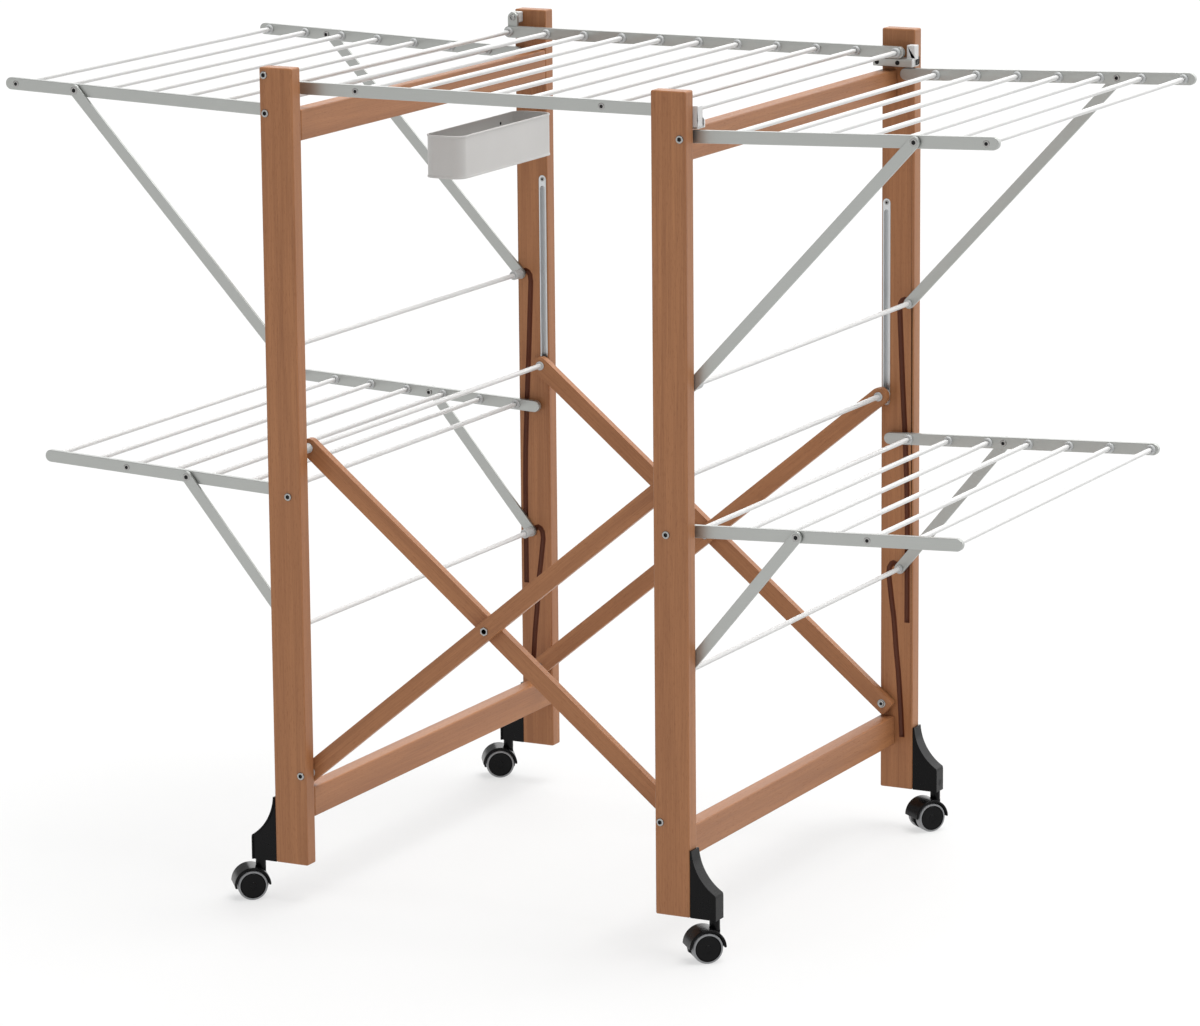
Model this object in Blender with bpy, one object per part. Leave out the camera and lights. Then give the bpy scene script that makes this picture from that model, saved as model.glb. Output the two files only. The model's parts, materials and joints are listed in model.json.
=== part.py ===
"""Folding clothes drying rack on four swivel casters, standing open with all four side wings raised.

Two wooden end frames are joined by a pair of crossed slats, one pair at the front and one at the back.
The slats' upper pins slide in aluminium channels, so the right frame closes towards the left one.
Each end frame carries an upper and a lower wing on pins, each propped by a pair of flat struts.
A central grille is hinged on the left frame's posts and rests on catches on the right frame's posts.

X runs from left to right, Y from front to back and Z up. Lengths are in millimetres, and heights are
given above the posts' feet. Every set of pieces that moves together hangs on an empty on its joint's axis.
"""

import math
from collections import namedtuple

import bmesh
import bpy
from mathutils import Matrix, Vector

MM = 0.001
GAP = 0.3                    # clearance between pieces that touch

# casters
WHEEL_R = 20.0
WHEEL_Z = -33.5              # wheel centre below the posts' feet
STEM_X = 333.0
TRAIL = 13.3
HOOD_R = 24.5
HOOD_WALL = 3.3
HOOD_HALF = 17.5
LIFT = WHEEL_R - WHEEL_Z     # height of the posts' feet above the floor
# how far each caster is swivelled from trailing towards the left, in degrees
SWIVELS = {"front_left": 39.0, "front_right": 42.0, "back_left": 33.0, "back_right": 52.0}
MIDDLE_Y = 8.76              # the rack's middle from the middle of its floor space, which the casters widen

# end frames
POST_OUT = 303.0
POST_W = 48.0
POST_T = 22.0
POST_H = 1050.0
DEPTH = 357.0                # outer face of a post from the middle
FACE = DEPTH - POST_T        # inner face of a post from the middle
POST_IN = POST_OUT - POST_W
BAR_H = 40.0
BAR_TOP_Z = 955.0
BAR_LOW_Z = 62.0
EDGE = 2.2

# crossed slats
SLAT_X = 262.5
SLAT_LOW_Z = 121.0
SLAT_TOP_Z = 552.0
SLAT_CLOSED = 28.0           # distance between the slats' lower pins with the rack closed
SLAT_R = 12.0
SLAT_T = 11.0
SLAT_OUTER = 2.0             # from the post's inner face to the outer slat
SLAT_INNER = 15.0
PIN_R = 3.5
CHANNEL_R = 5.5
CHANNEL_Z = (541.0, 814.0)
CHANNEL_DEPTH = 8.0
SLOT_R = 4.0

# rails, rods and struts
RAIL_R = 8.0                 # half the height of a rail, and the radius of its ends
RAIL_T = 8.0
WING_LAYER = 5.3             # from the post's inner face to a wing rail
GRILLE_LAYER = 15.0
ROD_R = 3.3
ROD_PITCH = 58.6
STRUT_R = 7.5
STRUT_T = 4.0
STRUT_LAYER = 0.5
HINGE_R = 3.0
GROOVE_R = 3.5

# name, hinge x, hinge z, upward tilt in degrees, strut pin offset, strut foot x, strut foot z, tip, first rod
WINGS = (
    ("upper", 295.0, 991.0, 2.0, 303.0, 297.0, 679.0, 412.0, 44.4),
    ("lower", 273.0, 493.0, 2.5, 168.0, 284.5, 311.0, 390.0, 28.4),
)
WING_RODS = 7
GROOVES = (
    ((297.0, 674), (296.2, 679), (293.6, 682.2), (290, 683.4), (286.4, 681.6), (283.6, 677.5),
     (282.4, 669), (284.4, 620), (286.8, 568), (290.7, 497), (293.6, 430), (294.6, 380), (294.6, 236)),
    ((282.0, 307), (281.2, 312.5), (278.6, 316), (274.8, 317.4), (271, 315.6), (268.2, 311),
     (267.2, 301), (270.8, 271), (275, 240), (278.4, 198), (281.8, 166), (285.4, 115), (287.6, 74)),
)

# central grille
GRILLE_Z = 1020.5
GRILLE_HINGE = (-296.0, 1040.0)
GRILLE_X = (-300.5, 288.0)   # centres of the rails' round ends
GRILLE_RODS = 11

# peg tray
TRAY_X = (-284.0, -225.0)
TRAY_Y = (34.0, 300.0)
TRAY_Z = (856.0, 914.0)
TRAY_WALL = 2.5
TRAY_CORNER = 16.0

SIDES = (("left", -1), ("right", 1))
ENDS = (("front", -1), ("back", 1))

# An empty on a joint's axis, and the point of its pieces' drawing that stands there.
Carrier = namedtuple("Carrier", "empty origin")


def clear_scene():
    for obj in list(bpy.data.objects):
        bpy.data.objects.remove(obj, do_unlink=True)


def material(name, colour, roughness, metallic=0.0):
    mat = bpy.data.materials.new(name)
    mat.use_nodes = True
    shader = mat.node_tree.nodes["Principled BSDF"]
    shader.inputs["Base Color"].default_value = (*colour, 1.0)
    shader.inputs["Roughness"].default_value = roughness
    shader.inputs["Metallic"].default_value = metallic
    mat.diffuse_color = (*colour, 1.0)
    return mat


def carrier(name, place, parent=None, lean=0.0, turn=0.0, origin=(0.0, 0.0, 0.0)):
    """Empty on a joint's axis, leaning about Y and turned about Z, at a point of the parent's drawing."""
    empty = bpy.data.objects.new(name, None)
    empty.empty_display_size = 0.03
    bpy.context.scene.collection.objects.link(empty)
    if parent:
        empty.parent = parent.empty
        empty.location = (Vector(place) - parent.origin) * MM
    else:
        empty.location = (Vector(place) + Vector((0.0, MIDDLE_Y, LIFT))) * MM
    empty.rotation_euler = (0.0, lean, turn)
    return Carrier(empty, Vector(origin))


def make(name, bm, mat, held, smooth=False, centre=None):
    """Turn a drawing in millimetres into an object in metres, parented to the carrier that holds it."""
    origin = Vector(centre) if centre else held.origin
    bmesh.ops.translate(bm, verts=bm.verts, vec=-origin)
    bmesh.ops.scale(bm, verts=bm.verts, vec=(MM, MM, MM))
    bmesh.ops.recalc_face_normals(bm, faces=bm.faces)
    mesh = bpy.data.meshes.new(name)
    bm.to_mesh(mesh)
    bm.free()
    obj = bpy.data.objects.new(name, mesh)
    bpy.context.scene.collection.objects.link(obj)
    obj.parent = held.empty
    obj.location = (origin - held.origin) * MM
    mesh.materials.append(mat)
    if smooth:
        mesh.shade_smooth()
        mesh.set_sharp_from_angle(angle=math.radians(40.0))
    return obj


def add_prism(bm, outline, low, high, axis="Y"):
    """Fill an outline and extrude it along Y (points are x, z) or along Z (points are x, y)."""
    if axis == "Y":
        points, step = [(a, low, b) for a, b in outline], (0.0, high - low, 0.0)
    else:
        points, step = [(a, b, low) for a, b in outline], (0.0, 0.0, high - low)
    face = bm.faces.new([bm.verts.new(point) for point in points])
    swept = bmesh.ops.extrude_face_region(bm, geom=[face])
    moved = [item for item in swept["geom"] if isinstance(item, bmesh.types.BMVert)]
    bmesh.ops.translate(bm, verts=moved, vec=step)


def add_box(bm, x, y, z):
    middle = [(low + high) / 2.0 for low, high in (x, y, z)]
    size = [high - low for low, high in (x, y, z)]
    bmesh.ops.create_cube(bm, size=1.0, matrix=Matrix.Translation(middle) @ Matrix.Diagonal((*size, 1.0)))


def add_cylinder(bm, x, z, radius, y0, y1, segments=10):
    """A cylinder along Y. Its facets are turned a little, so that none lies in another shape's flat face."""
    upright = Matrix.Rotation(math.pi / 2.0, 4, "X") @ Matrix.Rotation(0.1, 4, "Z")
    bmesh.ops.create_cone(bm, cap_ends=True, segments=segments, radius1=radius, radius2=radius,
                          depth=y1 - y0, matrix=Matrix.Translation((x, (y0 + y1) / 2.0, z)) @ upright)


def add_pillar(bm, x, y, radius, z0, z1, segments=14):
    """A cylinder along Z."""
    bmesh.ops.create_cone(bm, cap_ends=True, segments=segments, radius1=radius, radius2=radius,
                          depth=z1 - z0, matrix=Matrix.Translation((x, y, (z0 + z1) / 2.0)))


def lathe(bm, profile, x, z, segments):
    """Spin (radius, y) points about the line through x and z that runs along Y, and close both ends."""
    verts = [bm.verts.new((x + radius, y, z)) for radius, y in profile]
    edges = [bm.edges.new(pair) for pair in zip(verts, verts[1:])]
    bmesh.ops.spin(bm, geom=verts + edges, cent=(x, 0.0, z), axis=(0.0, 1.0, 0.0), angle=2.0 * math.pi,
                   steps=segments, use_merge=True)
    bmesh.ops.edgeloop_fill(bm, edges=[edge for edge in bm.edges if edge.is_boundary])


def arc(centre, radius, start, stop, segments):
    """Points on an arc between two angles in degrees."""
    steps = [math.radians(start + (stop - start) * i / segments) for i in range(segments + 1)]
    return [(centre[0] + radius * math.cos(a), centre[1] + radius * math.sin(a)) for a in steps]


def stadium(p, q, radius, segments=6):
    """Outline of a bar with round ends centred on p and q."""
    angle = math.degrees(math.atan2(q[1] - p[1], q[0] - p[0]))
    near = arc(p, radius, angle + 90.0, angle + 270.0, segments)
    far = arc(q, radius, angle - 90.0, angle + 90.0, segments)
    return near + far


def rounded_rectangle(x0, x1, y0, y1, radius, segments=5):
    corners = ((x1, y1, 0.0), (x0, y1, 90.0), (x0, y0, 180.0), (x1, y0, 270.0))
    points = []
    for x, y, start in corners:
        centre = (x - math.copysign(radius, x - x0 - radius), y - math.copysign(radius, y - y0 - radius))
        points += arc(centre, radius, start, start + 90.0, segments)
    return points


def bevel(obj, width, segments=1, angle=40.0):
    mod = obj.modifiers.new("edges", "BEVEL")
    mod.width = width * MM
    mod.segments = segments
    mod.limit_method = "ANGLE"
    mod.angle_limit = math.radians(angle)
    mod.use_clamp_overlap = True


def combine(obj, bm, operation, held, centre=None):
    """Cut from obj, or fuse to it, every shape drawn in bm. The tool object stays hidden."""
    tool = make(f"{obj.name}_{operation.lower()}", bm, obj.data.materials[0], held, centre=centre)
    tool.hide_render = True
    tool.display_type = "WIRE"
    mod = obj.modifiers.new(operation.lower(), "BOOLEAN")
    mod.operation = operation
    mod.solver = "EXACT"
    mod.object = tool


def add_groove(bm, points, radius, end, sides=6):
    """A closed tube that follows points (x, z) on a post's inner face, bridged from ring to ring."""
    centres = [Vector((x, end * FACE, z)) for x, z in points]
    rings = []
    for i, centre in enumerate(centres):
        along = (centres[min(i + 1, len(centres) - 1)] - centres[max(i - 1, 0)]).normalized()
        across = along.cross(Vector((0.0, 1.0, 0.0)))
        place = Matrix((across, (0.0, 1.0, 0.0), along)).transposed().to_4x4()
        place.translation = centre
        ring = bmesh.ops.create_circle(bm, cap_ends=i in (0, len(centres) - 1), segments=sides,
                                       radius=radius, matrix=place)["verts"]
        rings.append([edge for edge in bm.edges if edge.verts[0] in ring])
    for one, two in zip(rings, rings[1:]):
        bmesh.ops.bridge_loops(bm, edges=one + two)


def layer(end, distance, thickness):
    """The y range of a layer that starts a distance inside the post's inner face."""
    near, far = end * (FACE - distance), end * (FACE - distance - thickness)
    return min(near, far), max(near, far)


def span(end, a, b):
    """The y range between two distances from the middle, on the front or the back."""
    return min(end * a, end * b), max(end * a, end * b)


def slat_length():
    return math.hypot(2 * SLAT_X, SLAT_TOP_Z - SLAT_LOW_Z)


def slat_top_closed():
    return SLAT_LOW_Z + math.sqrt(slat_length() ** 2 - SLAT_CLOSED ** 2)


def build_frame(side, s, mats):
    """One end frame: two posts, two crossbars, two channels and two caster brackets.

    Its carrier stands on the axis of the slats' lower pins, where the right frame turns.
    """
    axis = (s * SLAT_X, 0.0, SLAT_LOW_Z)
    frame = carrier(f"{side}_frame", axis, origin=axis)
    for end, e in ENDS:
        foot = (s * (POST_IN + POST_W / 2.0), e * (FACE + POST_T / 2.0), 0.0)
        bm = bmesh.new()
        add_box(bm, sorted((s * POST_IN, s * POST_OUT)), span(e, FACE, DEPTH), (0.0, POST_H))
        post = make(f"post_{end}_{side}", bm, mats["wood"], frame, centre=foot)
        bevel(post, EDGE, segments=3)
        cuts = bmesh.new()
        low, high = CHANNEL_Z
        ends = (s * SLAT_X, low), (s * SLAT_X, high)
        add_prism(cuts, stadium(*ends, CHANNEL_R + GAP), *span(e, FACE - 1.0, FACE + CHANNEL_DEPTH + GAP))
        for _, hx, hz, *_ in WINGS:
            add_cylinder(cuts, s * hx, hz, HINGE_R + 0.4, *span(e, FACE - 1.0, FACE + 13.0))
        add_cylinder(cuts, s * SLAT_X, SLAT_LOW_Z, PIN_R + 0.4, *span(e, FACE - 1.0, FACE + 13.0))
        for path in GROOVES:
            add_groove(cuts, [(s * px, pz) for px, pz in path], GROOVE_R, e)
        combine(post, cuts, "DIFFERENCE", frame, foot)

        bm = bmesh.new()
        add_prism(bm, stadium(*ends, CHANNEL_R), *span(e, FACE, FACE + CHANNEL_DEPTH))
        channel = make(f"channel_{end}_{side}", bm, mats["aluminium"], frame)
        cuts = bmesh.new()
        slot = (s * SLAT_X, SLAT_TOP_Z - GAP), (s * SLAT_X, slat_top_closed() + 1.0)
        add_prism(cuts, stadium(*slot, SLOT_R), *span(e, FACE - 1.0, FACE + CHANNEL_DEPTH - 1.0))
        combine(channel, cuts, "DIFFERENCE", frame)

        build_bracket(f"caster_bracket_{end}_{side}", s, e, frame, mats)
        build_caster(f"{end}_{side}", s, e, frame, mats)

    for name, z in (("top", BAR_TOP_Z), ("low", BAR_LOW_Z)):
        bm = bmesh.new()
        add_box(bm, sorted((s * POST_IN, s * (POST_IN + POST_T))), (-FACE + GAP, FACE - GAP), (z, z + BAR_H))
        middle = (s * (POST_IN + POST_T / 2.0), 0.0, z + BAR_H / 2.0)
        bevel(make(f"crossbar_{name}_{side}", bm, mats["wood"], frame, centre=middle), EDGE, segments=3)
    return frame


def build_bracket(name, s, e, frame, mats):
    """Curved corner block that carries a caster beside the foot of a post."""
    inner = POST_OUT + GAP
    outline = [(inner, 0.0), (inner, 88.0), (305.8, 88.0), (307.2, 80.0), (309.6, 71.0), (313.2, 61.5),
               (318.2, 52.5), (324.4, 45.0), (331.6, 38.8), (336.4, 35.2), (339.2, 31.2), (340.0, 26.0),
               (340.0, 0.0)]
    stem = (s * STEM_X, e * (FACE + POST_T / 2.0), 0.0)
    bm = bmesh.new()
    add_prism(bm, [(s * x, z) for x, z in outline], *span(e, FACE, DEPTH))
    bracket = make(name, bm, mats["black"], frame, centre=stem)
    bevel(bracket, 1.2, angle=50.0)
    bm = bmesh.new()
    add_pillar(bm, stem[0], stem[1], 4.4, -1.0, 21.0, 12)
    combine(bracket, bm, "DIFFERENCE", frame, stem)


def build_caster(label, s, e, frame, mats):
    """Hooded fork on a swivelling stem, and a twin wheel on its axle, each drawn round its own axis."""
    swivel = carrier(f"swivel_{label}", (s * STEM_X, e * (FACE + POST_T / 2.0), 0.0), frame,
                     turn=math.radians(SWIVELS[label]))
    hub = (-TRAIL, WHEEL_Z)

    bm = bmesh.new()
    add_prism(bm, arc(hub, HOOD_R, 0.0, 180.0, 12) + arc(hub, HOOD_R - HOOD_WALL, 180.0, 0.0, 12),
              -HOOD_HALF, HOOD_HALF)
    fork = make(f"caster_fork_{label}", bm, mats["black"], swivel, smooth=True)
    bm = bmesh.new()
    add_prism(bm, arc(hub, 22.5, 0.0, 180.0, 10) + arc(hub, 7.5, 200.0, 340.0, 4), -3.5, 3.5)
    combine(fork, bm, "UNION", swivel)
    for radius, low, high in ((6.8, WHEEL_Z + 20.0, -GAP), (4.0, WHEEL_Z + 20.5, 19.0)):
        bm = bmesh.new()
        add_pillar(bm, 0.0, 0.0, radius, low, high)
        combine(fork, bm, "UNION", swivel)
    bm = bmesh.new()
    add_box(bm, (-6.0, 6.6), (-3.7, 3.7), (WHEEL_Z + 7.0, WHEEL_Z + 22.0))
    combine(fork, bm, "UNION", swivel)
    bm = bmesh.new()
    add_cylinder(bm, *hub, 3.8, -6.0, 6.0, 16)
    combine(fork, bm, "DIFFERENCE", swivel)

    axle = carrier(f"axle_{label}", (hub[0], 0.0, hub[1]), swivel)
    half = [(HINGE_R, 4.2), (18.6, 4.2), (WHEEL_R, 5.6), (WHEEL_R, 15.6), (18.4, 17.2), (6.0, 17.2)]
    bm = bmesh.new()
    lathe(bm, [(r, -d) for r, d in reversed(half)] + half, 0.0, 0.0, 24)
    make(f"twin_wheel_{label}", bm, mats["tyre"], axle, smooth=True)


def build_slats(mats):
    """Slats A rise to the left and slats B to the right. A is inside B at the front and outside at the back.

    Each pair is drawn along its own length: B from its lower pin, A from the bolt in its middle.
    """
    length = slat_length()
    rise = math.atan2(SLAT_TOP_Z - SLAT_LOW_Z, 2 * SLAT_X)
    middle_z = (SLAT_LOW_Z + SLAT_TOP_Z) / 2
    held = {
        "a": carrier("slats_a", (0.0, 0.0, middle_z), lean=rise),
        "b": carrier("slats_b", (-SLAT_X, 0.0, SLAT_LOW_Z), lean=-rise),
    }
    for key, low, top in (("a", length / 2, -length / 2), ("b", 0.0, length)):
        depth = {}
        for end, e in ENDS:
            inner = (key == "a") == (e < 0)
            depth[e] = SLAT_INNER if inner else SLAT_OUTER
            bm = bmesh.new()
            y = layer(e, depth[e], SLAT_T)
            add_prism(bm, stadium((low, 0.0), (top, 0.0), SLAT_R), *y)
            slat = make(f"slat_{key}_{end}", bm, mats["wood"], held[key])
            bevel(slat, 1.4, segments=2, angle=50.0)
            bm = bmesh.new()
            for x in (top, (low + top) / 2):
                add_cylinder(bm, x, 0.0, PIN_R + 0.4, y[0] - 1.0, y[1] + 1.0, 12)
            combine(slat, bm, "DIFFERENCE", held[key])
            bm = bmesh.new()
            lathe(bm, [(7.0, e * (FACE - depth[e] - 1.5)), (7.0, e * (FACE - 0.4)),
                       (PIN_R, e * (FACE - 0.4)), (PIN_R, e * (FACE + 12.0))], low, 0.0, 12)
            combine(slat, bm, "UNION", held[key])

        # The upper rod runs through both slats and its ends ride in the channels.
        reach = FACE + CHANNEL_DEPTH - 2.0
        front, back = FACE - depth[-1], FACE - depth[1]
        profile = [(PIN_R, -reach), (PIN_R, -FACE + 0.4), (6.5, -FACE + 0.4), (6.5, -front - GAP),
                   (PIN_R, -front - GAP), (PIN_R, back + GAP), (6.5, back + GAP), (6.5, FACE - 0.4),
                   (PIN_R, FACE - 0.4), (PIN_R, reach)]
        bm = bmesh.new()
        lathe(bm, profile, top, 0.0, 12)
        make(f"slat_rod_{key}", bm, mats["rod"], held[key], smooth=True)

    for end, e in ENDS:
        outer, inner = FACE - SLAT_OUTER + GAP, FACE - SLAT_INNER - SLAT_T - GAP
        profile = [(6.0, outer + 1.2), (6.0, outer), (PIN_R, outer), (PIN_R, inner), (6.0, inner),
                   (6.0, inner - 2.4), (4.2, inner - 3.6)]
        bm = bmesh.new()
        lathe(bm, [(r, e * y) for r, y in profile], length / 2, 0.0, 12)
        make(f"slat_bolt_{end}", bm, mats["chrome"], held["b"], smooth=True)


def build_wing(side, s, wing, frame, mats):
    """One wing: a front rail, a back rail with its rods, two struts and the rod that joins their feet.

    The rails are drawn outwards from the hinge, and the struts down from the pin that holds them.
    """
    name, hx, hz, tilt, pin, foot_x, foot_z, tip, first = wing
    label = f"{name}_{side}"
    slope = math.radians(tilt)
    hinge = carrier(f"wing_{label}", (s * hx, 0.0, hz), frame, lean=-s * slope)
    drop = (s * (foot_x - hx - pin * math.cos(slope)), foot_z - hz - pin * math.sin(slope))
    length = math.hypot(*drop)
    swing = carrier(f"struts_{label}", (s * pin, 0.0, 0.0), hinge,
                    lean=math.atan2(-drop[0], -drop[1]) + s * slope)
    for end, e in ENDS:
        y = layer(e, WING_LAYER, RAIL_T)
        inner = FACE - WING_LAYER - RAIL_T
        bm = bmesh.new()
        add_prism(bm, stadium((0.0, 0.0), (s * (tip - RAIL_R), 0.0), RAIL_R), *y)
        rail = make(f"wing_rail_{end}_{label}" if e < 0 else f"wing_comb_{label}", bm, mats["steel"], hinge)
        bm = bmesh.new()
        add_cylinder(bm, s * pin, 0.0, HINGE_R + 0.4, y[0] - 1.0, y[1] + 1.0, 12)
        combine(rail, bm, "DIFFERENCE", hinge)
        bm = bmesh.new()
        add_cylinder(bm, 0.0, 0.0, HINGE_R, *span(e, FACE - WING_LAYER - 3.0, FACE + 12.0))
        if e > 0:
            for i in range(WING_RODS):
                add_cylinder(bm, s * (first + ROD_PITCH * i), 0.0, ROD_R, -inner + GAP, inner + 3.0)
        combine(rail, bm, "UNION", hinge)

        bm = bmesh.new()
        add_prism(bm, stadium((0.0, 0.0), (0.0, -length), STRUT_R), *layer(e, STRUT_LAYER, STRUT_T))
        strut = make(f"strut_{end}_{label}", bm, mats["steel"], swing)
        bm = bmesh.new()
        add_cylinder(bm, 0.0, 0.0, HINGE_R, *span(e, FACE - STRUT_LAYER - 2.0, inner + 0.5))
        combine(strut, bm, "UNION", swing)

    # A long bush keeps the rod off the strut at the back of a left wing and at the front of a right one.
    reach = FACE - STRUT_LAYER - STRUT_T - GAP
    profile = [(5.2, -reach), (5.2, -reach + 3.0), (ROD_R, -reach + 3.0),
               (ROD_R, reach - 20.0), (6.4, reach - 20.0), (6.4, reach)]
    bm = bmesh.new()
    lathe(bm, [(r, -s * y) for r, y in profile], 0.0, -length, 12)
    make(f"strut_rod_{label}", bm, mats["rod"], swing, smooth=True)


def build_grille(frames, mats):
    """Two rails joined by rods, drawn from the hinge. Upright lugs at the left end turn on hinge blocks."""
    px, pz = GRILLE_HINGE
    hinge = carrier("grille", (px, 0.0, pz), frames["left"])
    x0, x1 = GRILLE_X[0] - px, GRILLE_X[1] - px
    z = GRILLE_Z - pz
    for end, e in ENDS:
        y = layer(e, GRILLE_LAYER, RAIL_T)
        bm = bmesh.new()
        add_prism(bm, stadium((x0, z), (x1, z), RAIL_R), *y)
        rail = make("grille_rail_front" if e < 0 else "grille_comb", bm, mats["steel"], hinge)
        bm = bmesh.new()
        add_prism(bm, stadium((0.0, z + 2.0), (0.0, 0.0), 7.5), *layer(e, GRILLE_LAYER, 5.0))
        combine(rail, bm, "UNION", hinge)
        bm = bmesh.new()
        add_cylinder(bm, 0.0, 0.0, HINGE_R + 0.4, y[0] - 1.0, y[1] + 1.0, 12)
        combine(rail, bm, "DIFFERENCE", hinge)
        if e > 0:
            inside = FACE - GRILLE_LAYER - RAIL_T
            bm = bmesh.new()
            for i in range(GRILLE_RODS):
                add_cylinder(bm, x0 + ROD_PITCH * i, z, ROD_R, -inside + GAP, inside + 3.0)
            combine(rail, bm, "UNION", hinge)

        # The hinge block belongs to the left frame and the catch to the right one.
        bm = bmesh.new()
        add_prism(bm, rounded_rectangle(px - 6.5, px + 6.5, pz - 7.5, pz + 7.5, 2.0, 3),
                  *layer(e, GAP, GRILLE_LAYER - 2 * GAP))
        block = make(f"hinge_block_{end}", bm, mats["white"], frames["left"])
        bm = bmesh.new()
        add_cylinder(bm, px, pz, HINGE_R, *layer(e, GRILLE_LAYER - 2.0, 6.5))
        combine(block, bm, "UNION", frames["left"])

        bm = bmesh.new()
        top = GRILLE_Z - RAIL_R - GAP
        add_box(bm, (251.0, 309.0), layer(e, GAP, GRILLE_LAYER + RAIL_T - 2.0), (top - 10.8, top))
        catch = make(f"catch_{end}", bm, mats["white"], frames["right"])
        bevel(catch, 0.8)
        bm = bmesh.new()
        add_box(bm, (298.5, 308.6), layer(e, GAP + 0.4, GRILLE_LAYER - 3.5), (top - 5.0, top + 18.0))
        combine(catch, bm, "UNION", frames["right"])


def build_tray(frame, mats):
    """Open peg tray carried on a tongue from the back left post."""
    bm = bmesh.new()
    add_prism(bm, rounded_rectangle(*TRAY_X, *TRAY_Y, TRAY_CORNER), *TRAY_Z, axis="Z")
    tray = make("peg_tray", bm, mats["white"], frame)
    x = [TRAY_X[0] + TRAY_WALL, TRAY_X[1] - TRAY_WALL]
    y = [TRAY_Y[0] + TRAY_WALL, TRAY_Y[1] - TRAY_WALL]
    bm = bmesh.new()
    add_prism(bm, rounded_rectangle(*x, *y, TRAY_CORNER - TRAY_WALL), TRAY_Z[0] + TRAY_WALL,
              TRAY_Z[1] + 1.0, axis="Z")
    combine(tray, bm, "DIFFERENCE", frame)
    bm = bmesh.new()
    add_box(bm, (-276.0, -259.0), (TRAY_Y[1] - 1.5, FACE - GAP), (TRAY_Z[0] + 12.0, TRAY_Z[1] - 8.0))
    combine(tray, bm, "UNION", frame)


def build():
    clear_scene()
    mats = {
        "wood": material("wood", (0.26, 0.115, 0.055), 0.45),
        "steel": material("satin_steel", (0.42, 0.43, 0.42), 0.4, 1.0),
        "rod": material("rod_white", (0.78, 0.79, 0.78), 0.35),
        "aluminium": material("channel_aluminium", (0.7, 0.71, 0.72), 0.35, 1.0),
        "chrome": material("bolt_chrome", (0.75, 0.75, 0.75), 0.15, 1.0),
        "white": material("white_plastic", (0.72, 0.72, 0.71), 0.4),
        "black": material("black_plastic", (0.012, 0.012, 0.013), 0.25),
        "tyre": material("tyre_rubber", (0.03, 0.03, 0.032), 0.6),
    }
    frames = {}
    for side, s in SIDES:
        frames[side] = build_frame(side, s, mats)
        for wing in WINGS:
            build_wing(side, s, wing, frames[side], mats)
    build_slats(mats)
    build_grille(frames, mats)
    build_tray(frames["left"], mats)


build()
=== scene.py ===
"""Looks of a folding clothes drying rack on casters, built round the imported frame.

Every sub-assembly is a class. It reads its places from the frame, models its pieces on the bench,
coats them from the palette and hands each one over to the body it moves with.
"""

import sys
import json
import logging
import math
from collections.abc import Callable, Iterable, Sequence
from dataclasses import dataclass, field
from enum import Enum

import bmesh
import bpy
from mathutils import Matrix, Vector


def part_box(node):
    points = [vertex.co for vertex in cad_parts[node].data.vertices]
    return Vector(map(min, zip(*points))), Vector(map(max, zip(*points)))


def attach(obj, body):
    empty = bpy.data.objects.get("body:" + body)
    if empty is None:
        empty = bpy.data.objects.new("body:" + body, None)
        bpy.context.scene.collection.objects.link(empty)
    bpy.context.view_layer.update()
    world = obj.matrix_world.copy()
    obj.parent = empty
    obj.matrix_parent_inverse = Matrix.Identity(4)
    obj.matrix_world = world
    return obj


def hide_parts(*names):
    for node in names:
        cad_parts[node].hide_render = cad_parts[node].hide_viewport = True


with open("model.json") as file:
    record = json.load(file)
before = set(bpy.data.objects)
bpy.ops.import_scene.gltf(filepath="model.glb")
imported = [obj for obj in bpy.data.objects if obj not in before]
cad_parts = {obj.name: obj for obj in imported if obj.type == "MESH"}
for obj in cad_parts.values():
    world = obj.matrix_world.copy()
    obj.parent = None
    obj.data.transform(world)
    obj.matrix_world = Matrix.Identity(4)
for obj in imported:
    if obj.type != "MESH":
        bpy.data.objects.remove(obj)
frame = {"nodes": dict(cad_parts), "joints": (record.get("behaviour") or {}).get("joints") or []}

log = logging.getLogger("drying_rack")

Profile = Sequence[tuple[float, float]]
Seat = tuple[Sequence[float], Sequence[float]]
LYING = Matrix.Rotation(math.pi / 2.0, 4, "X")      # lays a shape on the Z axis along Y
PIN = 0.0029                                        # the radius of the hinge pins


class Side(Enum):
    """The two end frames, with the sign of X on each."""

    LEFT = -1
    RIGHT = 1

    @property
    def word(self) -> str:
        """The word that node and body names use."""
        return self.name.lower()


class End(Enum):
    """The two ends of every rod, with the sign of Y at each."""

    FRONT = -1
    BACK = 1

    @property
    def word(self) -> str:
        """The word that node and body names use."""
        return self.name.lower()

    @property
    def outward(self) -> tuple[int, int, int]:
        """The direction away from the rack's middle."""
        return (0, self.value, 0)

    @property
    def inward(self) -> tuple[int, int, int]:
        """The direction towards the rack's middle."""
        return (0, -self.value, 0)

    def outer(self, box: tuple[Vector, Vector]) -> float:
        """The Y of a box's face away from the rack's middle."""
        return box[0].y if self is End.FRONT else box[1].y

    def inner(self, box: tuple[Vector, Vector]) -> float:
        """The Y of a box's face towards the rack's middle."""
        return box[1].y if self is End.FRONT else box[0].y


class Level(Enum):
    """The two heights of the side wings."""

    UPPER = "upper"
    LOWER = "lower"


class Pick(Enum):
    """What an edit-mode selection is made of."""

    VERT = "VERT"
    EDGE = "EDGE"
    FACE = "FACE"


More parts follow.
